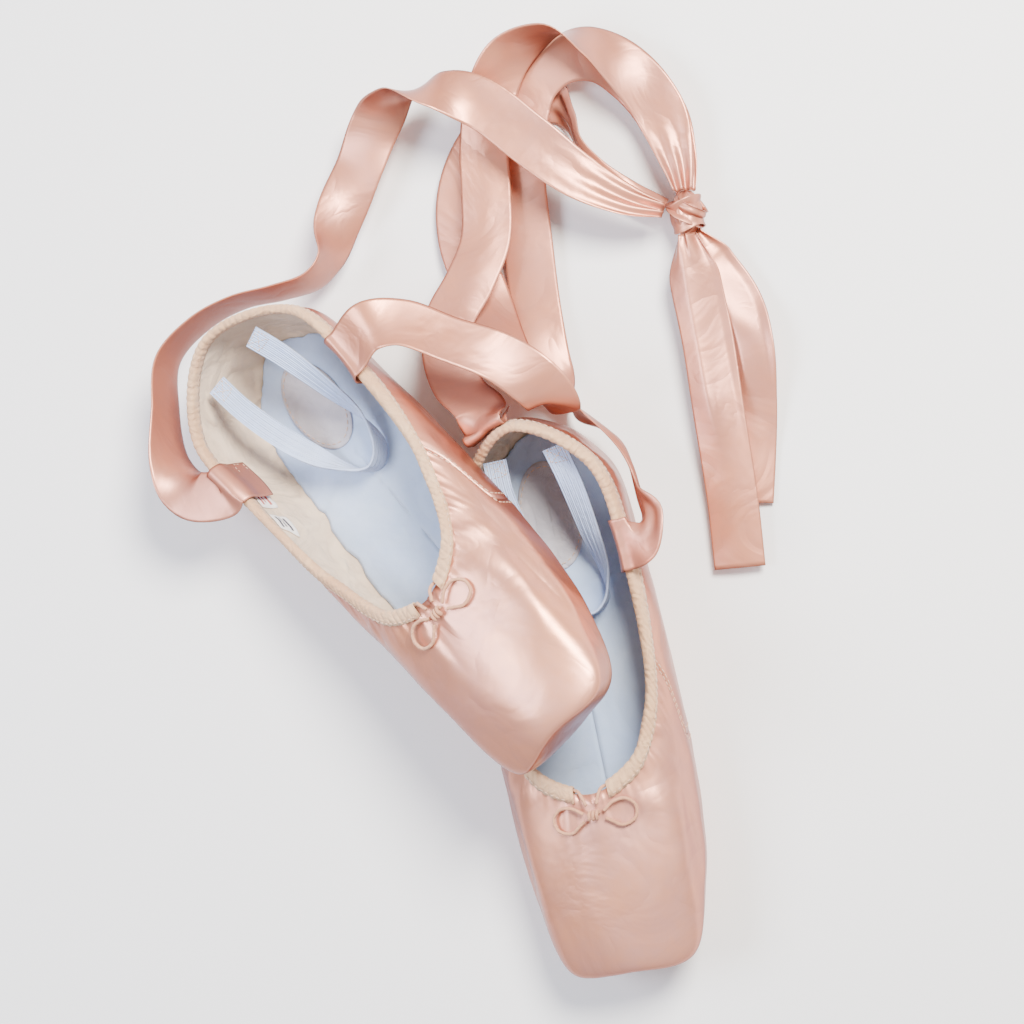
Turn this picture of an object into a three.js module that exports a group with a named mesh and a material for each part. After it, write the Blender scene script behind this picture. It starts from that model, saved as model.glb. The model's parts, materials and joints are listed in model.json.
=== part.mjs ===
// A pair of satin pointe shoes tied together by their ankle ribbons, lying flat.
// Millimetres, +Z up. The origin is the centre of the back shoe's sole, on the ground.
// In a shoe's own frame x runs from heel to toe, y to the left of the wearer, z up.
import * as THREE from 'three';

// ---------------------------------------------------------------- main sizes
const SHOE_LENGTH = 236;
const WIDTH_SCALE = 1.06;
const GAP = 0.3;
const SATIN = 0.9;
const LINING = 0.7;
const BOX_WALL = 2.2;
const OUTSOLE_THICKNESS = 2.0;
const MARGIN_HEIGHT = OUTSOLE_THICKNESS + GAP;
const SHANK_THICKNESS = 2.5;
const SOCK_THICKNESS = 1.0;
const HEEL_PAD_THICKNESS = 0.6;
const BINDING_WALL = 0.5;
const BINDING_ABOVE = 2.8;
const BINDING_BELOW = 2.5;
const CORD_DIAMETER = 1.5;
const CORD_SIDES = 8;
const ELASTIC_WIDTH = 10;
const ELASTIC_THICKNESS = 1.0;
const RIBBON_WIDTH = 22;
const RIBBON_THICKNESS = 0.6;
const LABEL_THICKNESS = 0.4;

// depths below the outer satin surface at which each layer starts
const LINING_DEPTH = SATIN + GAP;
const BOX_DEPTH = SATIN + GAP;
const LINING_DEPTH_IN_BOX = BOX_DEPTH + BOX_WALL + GAP;

// ---------------------------------------------------------------- the last
// how far the foot of the toe platform lies behind its upper edge
const PLATFORM_LEAN = 5.5;
// Eight stations from the middle of the toe to the middle of the heel. Each lists the
// rim, crown, upper wall, lower wall, feather edge and inner margin as [x, y, z].
const STATIONS = [
  [[160, 0, 45], [214, 0, 43.5], [SHOE_LENGTH, 0, 38], [SHOE_LENGTH - PLATFORM_LEAN, 0, 6],
    [217, 0, MARGIN_HEIGHT], [205, 0, MARGIN_HEIGHT]],
  [[151, 19, 43], [205, 25.5, 37.5], [SHOE_LENGTH - 1.5, 24.5, 30], [SHOE_LENGTH - PLATFORM_LEAN - 1, 23, 12],
    [205, 19.5, MARGIN_HEIGHT], [195, 14, MARGIN_HEIGHT]],
  [[136, 27, 40], [166, 34, 32], [206, 34, 24], [204, 33.5, 12],
    [178, 27, MARGIN_HEIGHT], [172, 19, MARGIN_HEIGHT]],
  [[124, 30.5, 38.5], [147, 36, 31], [180, 37.5, 22], [178, 37, 11],
    [158, 28, MARGIN_HEIGHT], [156, 19, MARGIN_HEIGHT]],
  [[108, 32.5, 37.5], [124, 37, 30], [145, 38.5, 21], [144, 38, 10],
    [132, 27, MARGIN_HEIGHT], [132, 18, MARGIN_HEIGHT]],
  [[66, 34, 38], [67, 36.5, 29], [68, 36.5, 19], [68, 34.5, 9],
    [68, 24, MARGIN_HEIGHT], [68, 15, MARGIN_HEIGHT]],
  [[25, 27.5, 44], [23.5, 29.5, 32], [22.5, 29.5, 20], [23, 27.5, 9],
    [29, 19.5, MARGIN_HEIGHT], [36, 12, MARGIN_HEIGHT]],
  [[3.5, 0, 51.5], [0.3, 0, 37], [0, 0, 22], [1.5, 0, 10],
    [8.5, 0, MARGIN_HEIGHT], [18, 0, MARGIN_HEIGHT]],
];
const RAILS = STATIONS[0].length;
const STEPS_BETWEEN_STATIONS = [3, 2, 2, 2, 2, 3, 4];
const ROWS = [0, 0.5, 1, 1.5, 2, 2.5, 3, 3.5, 4, 5];
const SEAM_STATION = 4;
const BOX_STATION = 3;
const BOX_FIRST_ROW = 2;
const BOX_LAST_ROW = 6;

// how far each shoe's soft sides spread (mm, per station, on the rim) and how far the side
// lying under the other shoe is pressed down (mm, per station: rim, crown, upper wall)
const SPREAD_SHARES = [1, 0.65, 0.25, 0, 0, 0];
const FRONT_SHAPE = {
  spread: [0, 0, 0, 0, 2.5, 5, 9, 0],
  press: null,
  elasticDrop: 0,
  elasticLean: 0,
  labelRow: 1,
};
const BACK_SHAPE = {
  spread: [0, 0, 0, 0, 0, -1, 0, 0],
  press: [[0, 0, 0, 4, 11, 15, 14, 0], [0, 0, 0, 2, 6, 9, 8, 0], [0, 0, 0, 0, 0, 3, 2, 0]],
  elasticDrop: 9,
  elasticLean: 5,
  labelRow: 2,
};

// where the shoes lie: heading of the toe, toe pitched up and left side rolled up (degrees)
const BACK_SHOE = { heading: -78, pitch: 0, roll: 0, at: [-23.4, 110.3, 0] };
const FRONT_SHOE = { heading: -45.6, pitch: 14, roll: 14, at: [-143.9, 146.9, -0.9] };

// ---------------------------------------------------------------- colours
const COLOURS = {
  satin: [0xe8bfa9, 0.35],
  lining: [0xe6d6c4, 0.95],
  box: [0xcbb894, 0.9],
  leather: [0xb99a7c, 0.7],
  board: [0x8d6a46, 0.8],
  sock: [0xcdd4e6, 0.9],
  pad: [0xccc4c9, 0.95],
  binding: [0xe6c4a3, 0.8],
  cord: [0xdeae91, 0.7],
  elastic: [0xccdbf2, 0.8],
  label: [0xf6f1ec, 0.8],
  ribbon: [0xdfb9a8, 0.3],
};

function finish(name, geometry, colourName) {
  const [colour, roughness] = COLOURS[colourName];
  const material = new THREE.MeshStandardMaterial({ color: colour, roughness, metalness: 0 });
  const mesh = new THREE.Mesh(geometry, material);
  mesh.name = name;
  return mesh;
}

function solid(points, faces) {
  const geometry = new THREE.BufferGeometry();
  const flat = points.flatMap((p) => [p.x, p.y, p.z]);
  geometry.setAttribute('position', new THREE.Float32BufferAttribute(flat, 3));
  geometry.setIndex(faces.flat());
  geometry.computeVertexNormals();
  return geometry;
}

// ---------------------------------------------------------------- surface of the last
function mirrored(point) {
  return [point[0], -point[1], point[2]];
}

function railLoop(rail, shape) {
  const left = STATIONS.map((station, s) => {
    const [x, y, z] = station[rail];
    return [x, y * WIDTH_SCALE + shape.spread[s] * SPREAD_SHARES[rail], z];
  });
  const right = left.map((point, s) => {
    const drop = shape.press && shape.press[rail] ? shape.press[rail][s] : 0;
    const [x, y, z] = mirrored(point);
    return [x, y, z - drop];
  });
  const loop = left.concat(right.slice(1, -1).reverse());
  const points = loop.map((p) => new THREE.Vector3(...p));
  return new THREE.CatmullRomCurve3(points, true, 'centripetal');
}

function endSlope(near, next) {
  const slope = 1.5 * near - 0.5 * next;
  if (slope * near <= 0) return 0;
  return Math.abs(slope) > 3 * Math.abs(near) ? 3 * near : slope;
}

// smooth curve through evenly spaced values that never overshoots them
function monotone(values, u) {
  const steps = values.slice(1).map((value, i) => value - values[i]);
  const slopes = values.map((_, i) => {
    if (i === values.length - 1) return steps[i - 1];
    if (i === 0) return 0;
    const [a, b] = [steps[i - 1], steps[i]];
    return a * b > 0 ? (2 * a * b) / (a + b) : 0;
  });
  slopes[0] = endSlope(steps[0], slopes[1]);
  const i = Math.min(Math.floor(u), values.length - 2);
  const t = u - i;
  const blend = t * t * (3 - 2 * t);
  const rise = t * (1 - t) * (1 - t) * slopes[i] - t * t * (1 - t) * slopes[i + 1];
  return values[i] * (1 - blend) + values[i + 1] * blend + rise;
}

function columnPositions() {
  const half = STEPS_BETWEEN_STATIONS;
  const all = half.concat(half.slice().reverse());
  return all.flatMap((count, segment) => (
    Array.from({ length: count }, (_, i) => (segment + i / count) / all.length)
  ));
}

// outer surface of the upper as a closed ring of columns, each a list of rows, with normals
function upperGrid(shape) {
  const loops = Array.from({ length: RAILS }, (_, rail) => railLoop(rail, shape));
  const points = columnPositions().map((t) => {
    const controls = loops.map((loop) => loop.getPoint(t));
    return ROWS.map((v) => new THREE.Vector3(
      monotone(controls.map((p) => p.x), v),
      monotone(controls.map((p) => p.y), v),
      monotone(controls.map((p) => p.z), v),
    ));
  });
  const count = points.length;
  const last = ROWS.length - 1;
  const normals = points.map((column, c) => column.map((_, r) => {
    const along = points[(c + 1) % count][r].clone().sub(points[(c + count - 1) % count][r]);
    const down = column[Math.min(r + 1, last)].clone().sub(column[Math.max(r - 1, 0)]);
    return down.cross(along).normalize();
  }));
  return { points, normals, count };
}

// a point of the grid at a fractional column, sunk below the outer surface
function sunk(grid, column, row, depth) {
  const low = Math.floor(column);
  const share = column - low;
  const ends = [low, low + 1].map((c) => {
    const i = ((c % grid.count) + grid.count) % grid.count;
    return grid.points[i][row].clone().addScaledVector(grid.normals[i][row], -depth);
  });
  return ends[0].lerp(ends[1], share);
}

// closed shell between two depths over a run of columns and rows; `ring` joins the ends
function shell(grid, columns, rows, outer, inner, ring) {
  const points = [];
  columns.forEach((c) => rows.forEach((r) => {
    points.push(sunk(grid, c, r, outer(c, r)), sunk(grid, c, r, inner(c, r)));
  }));
  const height = rows.length;
  const at = (c, r, side) => ((c % columns.length) * height + r) * 2 + side;
  const faces = [];
  const quad = (a, b, c, d) => faces.push([a, b, c], [a, c, d]);
  const spans = ring ? columns.length : columns.length - 1;
  for (let c = 0; c < spans; c += 1) {
    for (let r = 0; r < height - 1; r += 1) {
      quad(at(c, r, 0), at(c, r + 1, 0), at(c + 1, r + 1, 0), at(c + 1, r, 0));
      quad(at(c, r, 1), at(c + 1, r, 1), at(c + 1, r + 1, 1), at(c, r + 1, 1));
    }
    quad(at(c, 0, 0), at(c + 1, 0, 0), at(c + 1, 0, 1), at(c, 0, 1));
    quad(at(c, height - 1, 0), at(c, height - 1, 1), at(c + 1, height - 1, 1),
      at(c + 1, height - 1, 0));
  }
  if (!ring) {
    const end = columns.length - 1;
    for (let r = 0; r < height - 1; r += 1) {
      quad(at(0, r, 0), at(0, r, 1), at(0, r + 1, 1), at(0, r + 1, 0));
      quad(at(end, r, 0), at(end, r + 1, 0), at(end, r + 1, 1), at(end, r, 1));
    }
  }
  return solid(points, faces);
}

function range(from, to) {
  return Array.from({ length: to - from + 1 }, (_, i) => from + i);
}

function columnOfStation(station) {
  return STEPS_BETWEEN_STATIONS.slice(0, station).reduce((sum, n) => sum + n, 0);
}

const SEAM_COLUMN = columnOfStation(SEAM_STATION);
const BOX_COLUMN = columnOfStation(BOX_STATION);
const HEEL_COLUMN = columnOfStation(STATIONS.length - 1);
const SEAM_HALF_GAP = 0.015;
const BACK_SEAM_HALF_GAP = 0.03;
const ALL_ROWS = range(0, ROWS.length - 1);

function inBox(column, row) {
  const fromToe = Math.min(Math.abs(column), Math.abs(2 * HEEL_COLUMN - column));
  return fromToe <= BOX_COLUMN && row >= BOX_FIRST_ROW && row <= BOX_LAST_ROW;
}

function vamp(grid) {
  const columns = range(-SEAM_COLUMN, SEAM_COLUMN);
  columns[0] += SEAM_HALF_GAP;
  columns[columns.length - 1] -= SEAM_HALF_GAP;
  return shell(grid, columns, ALL_ROWS, () => 0, () => SATIN, false);
}

function quarter(grid, side) {
  const columns = range(SEAM_COLUMN, HEEL_COLUMN);
  columns[0] += SEAM_HALF_GAP;
  columns[columns.length - 1] -= BACK_SEAM_HALF_GAP;
  const placed = side > 0 ? columns : columns.map((c) => 2 * HEEL_COLUMN - c).reverse();
  return shell(grid, placed, ALL_ROWS, () => 0, () => SATIN, false);
}

function toeBox(grid) {
  const columns = range(-BOX_COLUMN, BOX_COLUMN);
  const rows = range(BOX_FIRST_ROW, BOX_LAST_ROW);
  return shell(grid, columns, rows, () => BOX_DEPTH, () => BOX_DEPTH + BOX_WALL, false);
}

function lining(grid) {
  const columns = range(0, grid.count - 1);
  const depth = (c, r) => (inBox(c, r) ? LINING_DEPTH_IN_BOX : LINING_DEPTH);
  return shell(grid, columns, ALL_ROWS, depth, (c, r) => depth(c, r) + LINING, true);
}

// columns of the ring that each of the two labels on the lining runs between
const SIZE_LABEL_COLUMNS = [24.2, 24.95];
const CARE_LABEL_COLUMNS = [25.15, 25.5];
const LABEL_ROWS = 2;

function label(grid, [fromColumn, toColumn], row) {
  const face = LINING_DEPTH + LINING + GAP;
  return shell(grid, [fromColumn, toColumn], range(row, row + LABEL_ROWS),
    () => face, () => face + LABEL_THICKNESS, false);
}

// ---------------------------------------------------------------- flat layers of the sole
const FEATHER_ROW = ROWS.indexOf(4);

function plate(outline, bottom, thickness) {
  const shape = new THREE.Shape(outline.map(([x, y]) => new THREE.Vector2(x, y)));
  const geometry = new THREE.ExtrudeGeometry(shape, { depth: thickness, bevelEnabled: false });
  geometry.translate(0, 0, bottom);
  return geometry;
}

function soleOutline(grid, inset) {
  const edge = grid.points.map((column) => column[FEATHER_ROW]);
  const count = edge.length;
  return edge.map((point, i) => {
    const before = edge[(i + count - 1) % count];
    const after = edge[(i + 1) % count];
    const across = new THREE.Vector2(after.x - before.x, after.y - before.y).normalize();
    return [point.x - across.y * inset, point.y + across.x * inset];
  });
}

function outsole(grid) {
  return plate(soleOutline(grid, OUTSOLE_INSET), 0, OUTSOLE_THICKNESS);
}

const OUTSOLE_INSET = 1.5;
const SHANK_FRONT = 152;
const SHANK_BOTTOM = MARGIN_HEIGHT + LINING_DEPTH + LINING + GAP;
const SOCK_BOTTOM = SHANK_BOTTOM + SHANK_THICKNESS + GAP;
const SOCK_TOP = SOCK_BOTTOM + SOCK_THICKNESS;

// left halves of the two outlines, heel to toe; points on the middle line have y = 0
const SHANK_OUTLINE = [
  [14, 0], [17, 9], [28, 13], [68, 15], [110, 18], [140, 19], [SHANK_FRONT, 12],
];
const SOCK_OUTLINE = [
  [12, 0], [15, 9], [25, 17], [45, 21], [70, 23.5], [105, 26], [135, 27],
  [160, 26], [180, 21], [194, 11], [197, 0],
];

function bothHalves(left) {
  const right = left.filter(([, y]) => y > 0).map(([x, y]) => [x, -y]).reverse();
  return left.concat(right).reverse();
}

function shankBoard() {
  return plate(bothHalves(SHANK_OUTLINE), SHANK_BOTTOM, SHANK_THICKNESS);
}

function insole() {
  return plate(bothHalves(SOCK_OUTLINE), SOCK_BOTTOM, SOCK_THICKNESS);
}

const PAD_CENTRE = 42;
const PAD_HALF_LENGTH = 24;
const PAD_HALF_WIDTH = 14;
const PAD_POINTS = 20;

function heelPad() {
  const outline = range(0, PAD_POINTS - 1).map((i) => {
    const angle = (2 * Math.PI * i) / PAD_POINTS;
    return [PAD_CENTRE + PAD_HALF_LENGTH * Math.cos(angle), PAD_HALF_WIDTH * Math.sin(angle)];
  });
  return plate(outline, SOCK_TOP + GAP, HEEL_PAD_THICKNESS);
}

// ---------------------------------------------------------------- swept pieces
// closed solid from a list of equal cross-sections, each a list of points in order; the second
// half of the sides splits along the same diagonals as the first, so a thin twisted band keeps
// its thickness
function loft(sections) {
  const points = sections.flat();
  const n = sections[0].length;
  const faces = [];
  for (let s = 0; s < sections.length - 1; s += 1) {
    for (let i = 0; i < n; i += 1) {
      const [a, b] = [s * n + i, s * n + ((i + 1) % n)];
      const [c, d] = [b + n, a + n];
      faces.push(...(i < n / 2 ? [[a, b, c], [a, c, d]] : [[a, b, d], [b, c, d]]));
    }
  }
  const flat = THREE.ShapeUtils.triangulateShape(sectionPlan(sections[0]), []);
  const end = (sections.length - 1) * n;
  flat.forEach(([a, b, c]) => {
    faces.push([a, c, b], [end + a, end + b, end + c]);
  });
  return solid(points, faces);
}

// the first section seen flat, in its own plane
function sectionPlan(section) {
  const across = section[1].clone().sub(section[0]).normalize();
  const area = new THREE.Vector3();
  section.forEach((p, i) => {
    area.add(p.clone().cross(section[(i + 1) % section.length]));
  });
  const upward = area.normalize().cross(across);
  return section.map((p) => new THREE.Vector2(p.dot(across), p.dot(upward)));
}

// directions at the rim of one column: out of the satin and up past its edge
function rimFrame(grid, column) {
  const at = sunk(grid, column, 0, 0);
  const out = sunk(grid, column, 0, -1).sub(at).normalize();
  const up = at.clone().sub(sunk(grid, column, 1, 0));
  up.addScaledVector(out, -up.dot(out)).normalize();
  return { at, out, up };
}

function rimPoint(frame, out, up) {
  return frame.at.clone().addScaledVector(frame.out, out).addScaledVector(frame.up, up);
}

const BINDING_CLEARANCE = 0.5;
const BINDING_CORNER_OUT = 0.8;
const BINDING_CORNER_UP = 0.6;
const BINDING_OUT = BINDING_CLEARANCE + BINDING_WALL;
const BINDING_IN = LINING_DEPTH + LINING + GAP + BINDING_WALL;
const THROAT_GAP_COLUMNS = 1;

function binding(grid) {
  const profile = [
    [BINDING_OUT, -BINDING_BELOW], [BINDING_OUT, BINDING_ABOVE - BINDING_CORNER_UP],
    [BINDING_OUT - BINDING_CORNER_OUT, BINDING_ABOVE],
    [-BINDING_IN + BINDING_CORNER_OUT, BINDING_ABOVE],
    [-BINDING_IN, BINDING_ABOVE - BINDING_CORNER_UP], [-BINDING_IN, -BINDING_BELOW],
    [-BINDING_IN + BINDING_WALL, -BINDING_BELOW],
    [-BINDING_IN + BINDING_WALL, BINDING_ABOVE - BINDING_WALL],
    [BINDING_OUT - BINDING_WALL, BINDING_ABOVE - BINDING_WALL],
    [BINDING_OUT - BINDING_WALL, -BINDING_BELOW],
  ];
  const columns = range(THROAT_GAP_COLUMNS, grid.count - THROAT_GAP_COLUMNS);
  return loft(columns.map((c) => {
    const frame = rimFrame(grid, c);
    return profile.map(([out, up]) => rimPoint(frame, out, up)).reverse();
  }));
}

function cordSection() {
  return range(0, CORD_SIDES - 1).map((i) => {
    const angle = (2 * Math.PI * i) / CORD_SIDES;
    return new THREE.Vector2(Math.cos(angle), Math.sin(angle)).multiplyScalar(CORD_DIAMETER / 2);
  });
}

function cord(points, steps) {
  const path = new THREE.CatmullRomCurve3(points, false, 'centripetal');
  const section = new THREE.Shape(cordSection());
  return new THREE.ExtrudeGeometry(section, { steps, extrudePath: path, bevelEnabled: false });
}

const CORD_STEPS_LOOP = 18;
const CORD_DEPTH_IN_RIM = 0.95;
const CORD_HEIGHT_IN_RIM = 1.25;
// where the two cord ends leave the casing and reach the knot, in the shoe's frame
const BOW_CENTRE = [168.5, 0, 47.5];
const KNOT_RADIUS = 2.6;
const KNOT_SCALE = [1, 1.25, 0.8];
const KNOT_SIDES = [10, 7];
const CORD_EXIT = [[157.9, 5.2, 45.2], [159.6, 3.9, 47.1], [164.0, 2.2, 48.2]];

function drawstring(grid) {
  const columns = range(THROAT_GAP_COLUMNS, grid.count - THROAT_GAP_COLUMNS);
  const ring = columns.map((c) => {
    const frame = rimFrame(grid, c);
    return cordSection().map((p) => (
      rimPoint(frame, p.x - CORD_DEPTH_IN_RIM, p.y + CORD_HEIGHT_IN_RIM)
    ));
  });
  const exit = (frame, side) => CORD_EXIT.map(([x, y, z]) => (
    cordSection().map((p) => new THREE.Vector3(x, side * y, z)
      .addScaledVector(frame.out, p.x).addScaledVector(frame.up, p.y))
  ));
  const first = exit(rimFrame(grid, columns[0]), 1).reverse();
  const last = exit(rimFrame(grid, columns[columns.length - 1]), -1);
  return loft([...first, ...ring, ...last].map((section) => section.slice().reverse()));
}

function bowKnot() {
  const geometry = new THREE.SphereGeometry(KNOT_RADIUS, ...KNOT_SIDES);
  geometry.scale(...KNOT_SCALE);
  geometry.translate(...BOW_CENTRE);
  return geometry;
}

// route of the left loop from the knot and back, measured from the bow's centre
const LOOP_ROUTE = [
  [-1.2, 4.4, -0.6], [-4.2, 9, -0.7], [-4.6, 14, -1.6], [-1, 17.6, -2.8],
  [4, 16.6, -3.0], [6, 11, -1.9], [3.6, 7, -1.2], [1.9, 4.6, -0.8],
];

// one loop of the bow, lying on the vamp beside the knot
function bowLoop(side) {
  const [x, y, z] = BOW_CENTRE;
  const points = LOOP_ROUTE.map(([dx, dy, dz]) => new THREE.Vector3(x + dx, y + side * dy, z + dz));
  return cord(points, CORD_STEPS_LOOP);
}

// a stop of a band's route: a point of its middle line, the direction of the band's width
// there (azimuth and elevation in degrees) and how far the width is gathered in
function stop([x, y, z, azimuth, elevation, gather = 1]) {
  const a = THREE.MathUtils.degToRad(azimuth);
  const e = THREE.MathUtils.degToRad(elevation);
  const across = new THREE.Vector3(Math.cos(a) * Math.cos(e), Math.sin(a) * Math.cos(e), Math.sin(e));
  return { at: new THREE.Vector3(x, y, z), across, gather };
}

// a flat band through its stops, with `parts` straight pieces between two stops
function band(stops, width, thickness, parts) {
  const middle = new THREE.CatmullRomCurve3(stops.map((s) => s.at), false, 'centripetal');
  const steps = (stops.length - 1) * parts;
  const sections = range(0, steps).map((i) => {
    const t = i / steps;
    const centre = middle.getPoint(t);
    const forward = middle.getTangent(t);
    const before = stops[Math.floor(i / parts)];
    const after = stops[Math.min(Math.floor(i / parts) + 1, stops.length - 1)];
    const share = (i % parts) / parts;
    const side = before.across.clone().lerp(after.across, share);
    side.addScaledVector(forward, -side.dot(forward)).normalize();
    const face = forward.clone().cross(side).normalize();
    const half = (width / 2) * (before.gather * (1 - share) + after.gather * share);
    return [[1, -1], [1, 1], [-1, 1], [-1, -1]].map(([s, f]) => (
      centre.clone().addScaledVector(side, s * half).addScaledVector(face, (f * thickness) / 2)
    ));
  });
  return loft(sections);
}

const ELASTIC_PARTS = 3;
const ELASTIC_STOPS = [
  [15.5, 14, 42, 90, 0], [30, 16.5, 36, 90, 5], [52, 18, 26.5, 90, 30], [71, 17.5, 17, 100, 65],
  [83, 13, 14.2, 130, 88], [87, 6, 14.2, 0, 90], [83, -1, 14.2, 50, 88],
  [70, -8.5, 17, 80, 115], [52, -13, 26.5, 90, 150], [30, -15, 36, 90, 175],
  [15.5, -14, 42, 90, 180],
];
const ELASTIC_LEAN_SHARES = [0, 0, 0.1, 0.4, 0.8, 1, 1, 0.9, 0.6, 0.2, 0];

// the end on the pressed side sits lower, with the wall it is sewn to
function elasticLoop(drop, lean) {
  const last = ELASTIC_STOPS.length - 1;
  const stops = ELASTIC_STOPS.map(([x, y, z, a, e], i) => {
    const lowered = i > last - 2 ? drop * (i - last + 2) * 0.5 : 0;
    return stop([x, y + lean * ELASTIC_LEAN_SHARES[i], z - lowered, a, e]);
  });
  return band(stops, ELASTIC_WIDTH, ELASTIC_THICKNESS, ELASTIC_PARTS);
}

// ---------------------------------------------------------------- ribbons of the pair
// Each ribbon is sewn to one shoe at a column of its rim, inside or outside the wall, and
// then follows its free route to the knot.
const RIBBONS = {
  a_ribbon_right: {
    shoe: 'a', column: 24, inside: true,
    route: [
      [-168, 78, 40, -68, 14], [-180, 92, 34, -110, 56], [-185, 116, 28, -175, 80],
      [-184, 138, 28, 145, 82], [-169, 154, 28, 125, 82], [-151, 163, 28, 105, 82],
      [-133, 167, 27, 95, 80], [-118, 172, 25, 105, 80], [-112, 180, 22, 160, 80],
      [-109, 198, 17, 172, 40], [-100, 222, 14, 155, 0], [-91, 241, 17, 142, 25],
      [-79, 252, 26, 112, 82], [-62, 252, 32, 262, 40], [-41, 245, 31, 246, 0],
      [-20, 229, 30, 236, 0], [1, 213, 28, 238, 8, 0.9], [21, 203, 23, 255, 15, 0.65],
      [36.2, 199, 18, 265, 20, 0.35],
    ],
  },
  a_ribbon_left: {
    shoe: 'a', column: 11.5, inside: true,
    route: [
      [-80, 147, 69, -60, 5], [-66, 149, 67, -88, 25], [-46, 142, 64, -98, 30],
      [-25, 134, 60, -112, 20], [-10, 123, 55, -130, 0], [-5, 115, 47, -180, 0],
      [-17, 119, 38, -215, 0], [-32, 142, 23, -210, 0], [-44, 165, 10, -200, 0],
      [-55, 190, 5, -182, 0], [-56, 210, 4, -178, 0], [-49, 229, 4, -200, 0],
      [-36, 243, 4, -215, 0], [-26, 248.5, 4, -235, 0], [-14, 249, 4, -262, 0, 0.8],
      [-6, 240, 9, -305, 60, 0.7], [-1.5, 229, 11.5, -327, 76, 0.7], [8, 217, 11, -320, 62, 0.6],
      [20, 208, 9, -302, 40, 0.5], [35, 201, 7, -280, 20, 0.35],
    ],
  },
  b_ribbon_right: {
    shoe: 'b', column: 19.2, inside: false,
    route: [
      [-38, 114, 42, -140, 30], [-50, 124, 32, 190, 15], [-57, 140, 25, 180, 0],
      [-56, 154, 24, 176, 0], [-48, 170, 21, 170, 0], [-42, 189, 16, 178, 0],
      [-42, 208, 15, 178, 0], [-43, 228, 15, 180, 0], [-40, 249, 17, 160, 10],
      [-31, 266, 21, 140, 40], [-14, 275, 25, 96, 82], [3, 272, 22, 262, 50],
      [19, 261, 17, 235, 20], [33, 243, 13, 205, 0], [41, 221, 14, 190, 10, 0.7],
      [44, 207.4, 16, 185, 15, 0.4],
    ],
  },
  b_ribbon_left: {
    shoe: 'b', column: 11.3, inside: true,
    route: [
      [30, 60, 45.5, -66, 14], [33.5, 67.5, 45, -40, 42, 0.8], [28.5, 78, 36, 10, 78, 0.75],
      [24, 90, 32, 60, 82, 0.7], [18, 100, 28, 135, 78, 0.7], [7, 109, 22, 125, 70, 0.9],
      [-6, 117, 17, 120, 45], [-15, 131, 11, 165, 10], [-21, 154, 6, 182, 0],
      [-25, 184, 6, 180, 0], [-28, 215, 8, 178, 0], [-27, 238, 9.5, 172, 0],
      [-22, 256, 10.5, 158, 0], [-10, 266, 11, 117, 0], [6, 267, 9, 76, 0], [20, 258, 4, 46, 0],
      [33, 242, 4, 30, 0], [41, 222, 5, 15, 0, 0.7], [44, 207.6, 7, 10, 0, 0.4],
    ],
  },
};
const TAIL_PARTS = 3;
const TAILS = {
  ribbon_tail_front: [
    [46, 188.9, 15, 5, 20, 0.4], [49, 169, 13, 2, 5], [54, 144, 11, -4, 0],
    [59, 110, 9, -4, 0], [64, 76, 7, -3, 0], [67, 47, 5, -3, 0],
  ],
  ribbon_tail_back: [
    [47, 190.3, 8, 10, 20, 0.4], [54, 177, 6, 20, 10], [65, 161, 6, 30, 5],
    [72, 142, 7, 10, 25], [72, 119, 4, -5, 10], [71, 95, 2.5, -8, 0], [70, 75, 2, -8, 0],
  ],
};
const RIBBON_PARTS = 2;
const SEWN_INSIDE = [[-5.6, -13], [-4.4, -5], [-4.2, 1.8], [-0.9, 5.0], [2.8, 4.0]];
const SEWN_OUTSIDE = [[2.0, -16], [2.6, -6], [4.4, 0]];

// the stops of the sewn end, carried into the frame of the pair
function sewnStops(group, grid, column, inside) {
  const frame = rimFrame(grid, column);
  const ahead = rimFrame(grid, column + 0.5).at.sub(rimFrame(grid, column - 0.5).at).normalize();
  group.updateMatrixWorld(true);
  return (inside ? SEWN_INSIDE : SEWN_OUTSIDE).map(([out, up]) => ({
    at: rimPoint(frame, out, up).applyMatrix4(group.matrixWorld),
    across: ahead.clone().transformDirection(group.matrixWorld),
    gather: 1,
  }));
}

function facing(stops, free) {
  const same = stops[stops.length - 1].across.dot(free[0].across) >= 0;
  return stops.map((s) => ({ ...s, across: s.across.clone().multiplyScalar(same ? 1 : -1) }));
}

function ribbon(name, shoes) {
  const { shoe: prefix, column, inside, route } = RIBBONS[name];
  const { group, grid } = shoes[prefix];
  const free = route.map(stop);
  const sewn = facing(sewnStops(group, grid, column, inside), free);
  return finish(name, band([...sewn, ...free], RIBBON_WIDTH, RIBBON_THICKNESS, RIBBON_PARTS), 'ribbon');
}

function tail(name) {
  return finish(name, band(TAILS[name].map(stop), RIBBON_WIDTH, RIBBON_THICKNESS, TAIL_PARTS), 'ribbon');
}

const RIBBON_KNOT = [44.8, 198, 12];
const RIBBON_KNOT_RADIUS = 7.5;
const RIBBON_KNOT_STRETCH = 1.15;
const RIBBON_KNOT_SIDES = [14, 10];

function ribbonKnot() {
  const geometry = new THREE.SphereGeometry(RIBBON_KNOT_RADIUS, ...RIBBON_KNOT_SIDES);
  geometry.scale(1, RIBBON_KNOT_STRETCH, 1);
  geometry.translate(...RIBBON_KNOT);
  return finish('ribbon_knot', geometry, 'ribbon');
}

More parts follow.
